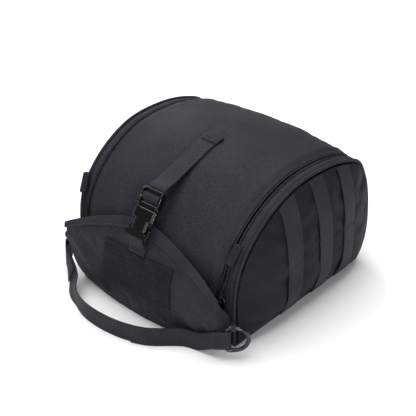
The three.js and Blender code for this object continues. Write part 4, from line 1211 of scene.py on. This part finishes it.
def build_buckle():
    half = BUCKLE_WIDTH / 2
    flat = (0, 0, 1)
    side_x = half - 1.65
    def both_sides(points):
        return np.array([*points, *((-x, up, out) for x, up, out in points[::-1])], float)
    corners = both_sides([
        (side_x, 8, 0), (side_x, 16, 0), (side_x, 25, 0), (side_x - 1.6, 27.4, 0), (6, 27.5, 0),
    ])
    # The frame's two rails are deep, its end bar is not.
    rails = smooth_line(corners, 90)
    deep = ((np.abs(rails[:, 0]) - 13.4) / 1.2).clip(0, 1)
    ladder = [sweep(rails, rounded(4.2, 3.2, 4), flat, scale=np.c_[1 + 1.1 * deep, 0 * deep + 1])]
    ladder.append(bar((-half, 8, 0), (half, 8, 0), rounded(4.2, 6, 4.5), flat))
    ladder.append(bar((-side_x, 18.5, 0), (side_x, 18.5, 0), rounded(3.2, 2.8, 3), flat))
    for side in (-1, 1):
        out = np.array([11.5, 11.5, 12, 14.3, 13.2, 11.6])
        prong = spots(side * out, (6, 0, -4, -7.5, -11, -14.6), 0)
        ladder.append(sweep(smooth_line(prong, 40), rounded(3.6, 3.8, 4), flat))
    frame = to_bag(joined(ladder))
    make_piece("buckle_frame", frame, ACETAL, ["buckle_plug"])

    # The body is a run of rounded sections. Its half width drops in the two side windows, and only
    # its outer wall goes on over the webbing's turn.
    up = np.concatenate([
        np.linspace(BODY_FOOT, -29.4, 5), np.linspace(-29, -22.6, 20),
        np.linspace(-22.4, 3.4, 70), np.linspace(3.6, BODY_TOP, 6),
    ])
    window = eased(np.clip((8.6 - np.abs(up + 17)) / 1.5, 0, 1))
    end = 0.8 + 0.2 * quarter(np.minimum(up - BODY_FOOT, BODY_TOP - up) / 1.6)
    width = (1 - window * 5.4 / half) * (0.93 + 0.07 * end)
    scale = np.c_[np.where(up > 0, end, 1), width]
    body = sweep(spots(0, up, 0), rounded(9, BUCKLE_WIDTH, 3.8, 48), flat, scale=scale)
    points = body[0]
    lip = points[:, 1] < -22.5
    points[lip, 2] = 4.5 - (4.5 - points[lip, 2]) * 0.06
    points[lip, 2] += 0.9 * ((-25.5 - points[lip, 1]) / 4).clip(0, 1)
    loop = both_sides([
        (half - 1.6, -18, 0), (half - 1.6, -24, 0), (half - 2, -26.6, 0), (half - 5, -27.5, 0),
        (0, -27.5, 0),
    ])
    loop = np.delete(loop, 5, axis=0)
    foot = sweep(smooth_line(loop, 80), rounded(4, 3.1, 4), flat)
    body = to_bag(joined([body, foot]))
    make_piece("buckle_body", body, ACETAL, ["buckle_socket"])


# Rings and hand strap

def ring_point(side, distance, height, inwards=0.0):
    """A point of a ring's plane, at a distance from its straight bar, moved towards the bag."""
    c, k = np.cos(RING_TURN), np.sin(RING_TURN)
    x = BAR_ACROSS[side] + distance * k - inwards * c
    return spots(side * x, BAR_ALONG + distance * c + inwards * k, height)


def build_rings():
    half = RING_HEIGHT / 2
    angle = np.radians(90 - 30 * np.arange(7))
    curve = np.c_[RING_REACH - half + half * np.cos(angle), half * np.sin(angle)]
    straight = [
        (RING_WIRE, -half), (0, RING_WIRE - half), (0, 0), (0, half - RING_WIRE), (RING_WIRE, half),
    ]
    flat = np.vstack([curve, straight])
    wire = rounded(RING_THICK, RING_THICK, 2, 16)
    for word, side in SIDES:
        points = ring_point(side, flat[:, 0], RING_MIDDLE[side] + flat[:, 1])
        path = smooth_line(points, 97, closed=True)[:-1]
        square = (side * np.cos(RING_TURN), -np.sin(RING_TURN), 0)
        make_piece(
            "wire_ring_" + word, sweep(path, wire, square, closed=True), STEEL,
            ["d_ring_" + word],
        )
        limb = RING_MIDDLE[side] + half
        distance = TURN + WEB / 2 + GAP + 3
        limb_out = side * ring_point(side, distance, 0)[0]
        root = (limb_out - KEEPER_ROOT) / np.cos(RING_TURN)
        gap = WEB / 2 + GAP
        turn = np.radians(np.linspace(-90, 90, 13))
        loop = np.vstack([
            ring_point(side, distance, limb - gap, root),
            ring_point(side, distance, limb + TURN * np.sin(turn), -TURN * np.cos(turn)),
            ring_point(side, distance, limb + gap, root),
        ])
        strap(
            "keeper_webbing_" + word, smooth_line(loop, 60), "ring_keeper_" + word, KEEPER_WIDTH,
            across=(side * np.sin(RING_TURN), np.cos(RING_TURN), 0),
        )


def handle_line():
    """Middle line of the hand strap and its direction across.

    It runs from the sewn-back end over the right turn, the long run and the left turn to the short
    end. Near the left ring the strap leans towards the bag.
    """
    def round_bar(side, first, last):
        angle = np.radians(np.linspace(first, last, 10))
        return about_bar(side, TURN, angle, RING_MIDDLE[side])
    def about_bar(side, reach, angle, height):
        across = side * (BAR_ACROSS[side] + reach * np.cos(angle))
        return spots(across, BAR_ALONG + reach * np.sin(angle), height)
    leaves, arrives = (about_bar(side, 1.7 * TURN, np.radians(230), 0) for side in (1, -1))
    table = [(a * BODY_WIDTH / 2, -HALF_DEPTH - f * POCKET_DEPTH, 0) for a, f in HANDLE_TABLE]
    middle = smooth_line([leaves, *table, arrives], 2001)
    tangent = unit(np.gradient(middle, axis=0))
    upright = np.array([0.0, 0, 1])
    def run(first, last, count, aside):
        share = np.linspace(first, last, count)
        k = np.round(share * 2000).astype(int)
        lean = STRAP_LEAN * eased((1 - np.abs(share - LEAN_MIDDLE) / LEAN_REACH).clip(0))[:, None]
        outwards = unit(np.c_[-tangent[k, 1], tangent[k, 0], 0 * share])
        point = middle[k].copy()
        climb = eased((1 - np.minimum(share, 1 - share) / STRAP_CLIMB).clip(0))
        top = np.where(share < 0.5, RING_MIDDLE[1], RING_MIDDLE[-1])
        point[:, 2] = WEB_WIDTH / 2 + (top - WEB_WIDTH / 2) * climb
        point = point + (outwards * np.cos(lean) + upright * np.sin(lean)) * aside
        return point, upright * np.cos(lean) - outwards * np.sin(lean)
    def turned(points):
        return points, np.broadcast_to(upright, points.shape)
    runs = [
        run(0.4, 0.03, 110, LAYER), turned(round_bar(1, -50, 150)), run(0.03, 0.97, 240, 0),
        turned(round_bar(-1, 150, -50)), run(0.97, 0.9, 20, LAYER),
    ]
    return np.vstack([points for points, _ in runs]), np.vstack([across for _, across in runs])


def build_handle():
    line, across = handle_line()
    strap("hand_strap", line, "handle_strap", across=across)


# Zip pulls

def zip_frame(side, distance, lift, lean):
    """Origin and axes on the zip: across, along towards the top, and out of the skin."""
    def point(distance, aside):
        station = ZIP_FRONT + distance / ARCH_LENGTH
        outwards = lean * distance
        across = side * (half_width(rim(station)[1]) - ZIP_MIDDLE + outwards)
        return skin(station, across + aside, lift + PIPING_RADIUS * min(1, outwards / ZIP_MIDDLE))
    at = point(distance, 0)
    along = unit(point(distance + PULL_RING, 0) - at)
    out = unit(np.cross(point(distance, 1) - point(distance, -1), along))
    return at, np.stack([np.cross(along, out), along, out])


def in_frame(shape, origin, axes):
    return shape[0] @ axes + origin, *shape[1:]


def build_pulls():
    for word, side in SIDES:
        lean = PULL_LEAN[side]
        up = spaced(15, 1.5, 1.5) * 15 - 7.5
        end = quarter(1 - (np.abs(up) - 6) / 1.5) * 0.6 + 0.4
        waist = 1 - 0.1 * hump(up - 1, 4)
        scale = np.c_[0.5 + 0.5 * end, end * waist]
        plate = sweep(spots(0, up, 1.6), rounded(2.6, 10, 4, 24), (0, 0, 1), scale=scale)
        bridge = spots(0, (-5.2, -4.8, -3, 3, 4.8, 5.2), (2.2, 5.2, 6.4, 6.4, 5.2, 2.2))
        arm = sweep(smooth_line(bridge, 40), rounded(2.6, 1.1, 4, 12), (1, 0, 0))
        slider = in_frame(joined([plate, arm]), *zip_frame(side, 0, 0, 0))
        make_piece("zip_slider_" + word, slider, STEEL, ["slider_" + word])
        ring_middle = RING_SEAT + PULL_RING
        angle = np.linspace(0, 2 * np.pi, 40, endpoint=False)
        ring = spots(PULL_RING * np.cos(angle), PULL_RING * np.sin(angle), 0)
        origin, axes = zip_frame(side, ring_middle, PULL_LEVEL, lean)
        section = rounded(2 * PULL_WIRE, 2 * PULL_WIRE, 2, 12)
        ring = in_frame(sweep(ring, section, (0, 0, 1), closed=True), origin, axes)
        make_piece("split_ring_" + word, ring, STEEL, ["pull_ring_" + word])
        wire = RING_SEAT + 2 * PULL_RING
        hold = 1.1 + PULL_WIRE + 1
        grip_level = GAP + GRIP_THICK / 2
        grip_foot = wire + LOOP_LENGTH
        def at(distance, aside, lift):
            origin, axes = zip_frame(side, distance, lift, lean)
            return origin + axes[0] * aside
        cord = [
            at(grip_foot - 0.3, 1.9, grip_level), at(wire + 16, 2.7, PULL_LEVEL + 0.4 * hold),
            at(wire + hold, 0.95, PULL_LEVEL + hold), at(wire, 0, PULL_LEVEL + hold),
            at(wire - hold, 0, PULL_LEVEL), at(wire, 0, PULL_LEVEL - hold),
            at(wire + hold, -0.95, PULL_LEVEL - hold), at(wire + 16, -2.7, PULL_LEVEL - 0.4 * hold),
            at(grip_foot - 0.3, -1.9, grip_level),
        ]
        loop = sweep(smooth_line(cord, 120), rounded(CORD_THICK, CORD_THICK, 2, 12), axes[2])
        make_piece("cord_loop_" + word, loop, CORD, ["pull_loop_" + word])
        build_grip(word, side, grip_foot, lean)


def build_grip(word, side, foot, lean):
    """A moulded grip: rounded sections that swell at both ends, with ribs across its middle."""
    up = np.linspace(-GRIP_LENGTH / 2, GRIP_LENGTH / 2, 90)
    end = 0.35 + 0.65 * quarter((GRIP_LENGTH / 2 - np.abs(up)) / 3)
    ribs = 0.03 * np.cos(up * 2 * np.pi / 3.4) * (np.abs(up) < 11)
    path = spots(0, up, GAP + GRIP_THICK / 2)
    scale = np.c_[end * (0.92 + ribs), end * (0.94 + ribs)]
    shape = sweep(path, rounded(GRIP_THICK, GRIP_WIDTH, 3, 28), (0, 0, 1), scale=scale)
    shape = in_frame(shape, *zip_frame(side, foot + GRIP_LENGTH / 2, 0, lean))
    make_piece("moulded_grip_" + word, shape, RUBBER, ["pull_grip_" + word])


# Camera, light and floor

def add_turned(name, data, right, up, back, place):
    """Adds an object with its three axes and its place."""
    turn = np.eye(4)
    turn[:3] = np.stack([right, up, back, place], axis=1)
    made = add_object(name, data)
    made.matrix_world = Matrix(turn.tolist())
    return made


def set_camera():
    """The photograph's place: azimuth from the front towards +X, and elevation over the floor."""
    azimuth, elevation = CAMERA_ANGLES
    level = np.cos(elevation)
    back = np.array([np.sin(azimuth) * level, -np.cos(azimuth) * level, np.sin(elevation)])
    right = np.array([np.cos(azimuth), np.sin(azimuth), 0])
    up = np.cross(back, right)
    data = bpy.data.cameras.new("photo_camera")
    data.lens = CAMERA_LENS
    data.sensor_width = 36
    place = np.array(CAMERA_PLACE) * MM
    bpy.context.scene.camera = add_turned("photo_camera", data, right, up, back, place)


def add_softbox(name, place, target, size, power):
    data = bpy.data.lights.new(name, "AREA")
    data.shape = "RECTANGLE"
    data.size, data.size_y = size
    data.energy = power
    back = unit(np.array(place) - np.array(target))
    right = unit(np.cross((0, 0, 1), back))
    add_turned(name, data, right, np.cross(back, right), back, place)


def build_studio():
    mesh = bpy.data.meshes.new("studio_floor")
    mesh.from_pydata([(-6, -6, 0), (6, -6, 0), (6, 6, 0), (-6, 6, 0)], [], [(0, 1, 2, 3)])
    material, tree, shader = start_material("matt_white_paper", Roughness=0.9)
    position = node(tree, "ShaderNodeTexCoord").outputs["Object"]
    pulp = node(tree, "ShaderNodeTexNoise", {"Vector": position, "Scale": 3.0, "Detail": 4.0})
    finish_surface(tree, shader, pulp.outputs[0], "#f6f6f6", "#fafafa")
    mesh.materials.append(material)
    add_object("studio_floor", mesh)
    world = bpy.data.worlds.new("studio_light")
    world.use_nodes = True
    sky = world.node_tree.nodes["Background"]
    sky.inputs["Color"].default_value = (1, 1, 1, 1)
    sky.inputs["Strength"].default_value = 0.2
    bpy.context.scene.world = world
    bpy.context.scene.view_settings.view_transform = "Standard"
    add_softbox("overhead_softbox", (-0.5, 0.0, 2.1), (-0.2, 0, 0.1), (2.6, 2.6), 78)
    add_softbox("front_softbox", (0.1, -1.9, 1.1), (0, 0, 0.1), (0.8, 0.8), 5)
    add_softbox("left_strip", (-1.3, 0.9, 0.8), (0, 0, 0.15), (0.12, 0.9), 5)
    add_softbox("edge_strip", (1.19, -0.89, 0.45), (0, -0.15, 0.14), (0.03, 0.9), 9)


set_camera()
build_studio()
build_skin()
build_ends()
build_base()
build_pocket()
build_patch()
build_straps()
build_buckle()
build_rings()
build_handle()
build_pulls()
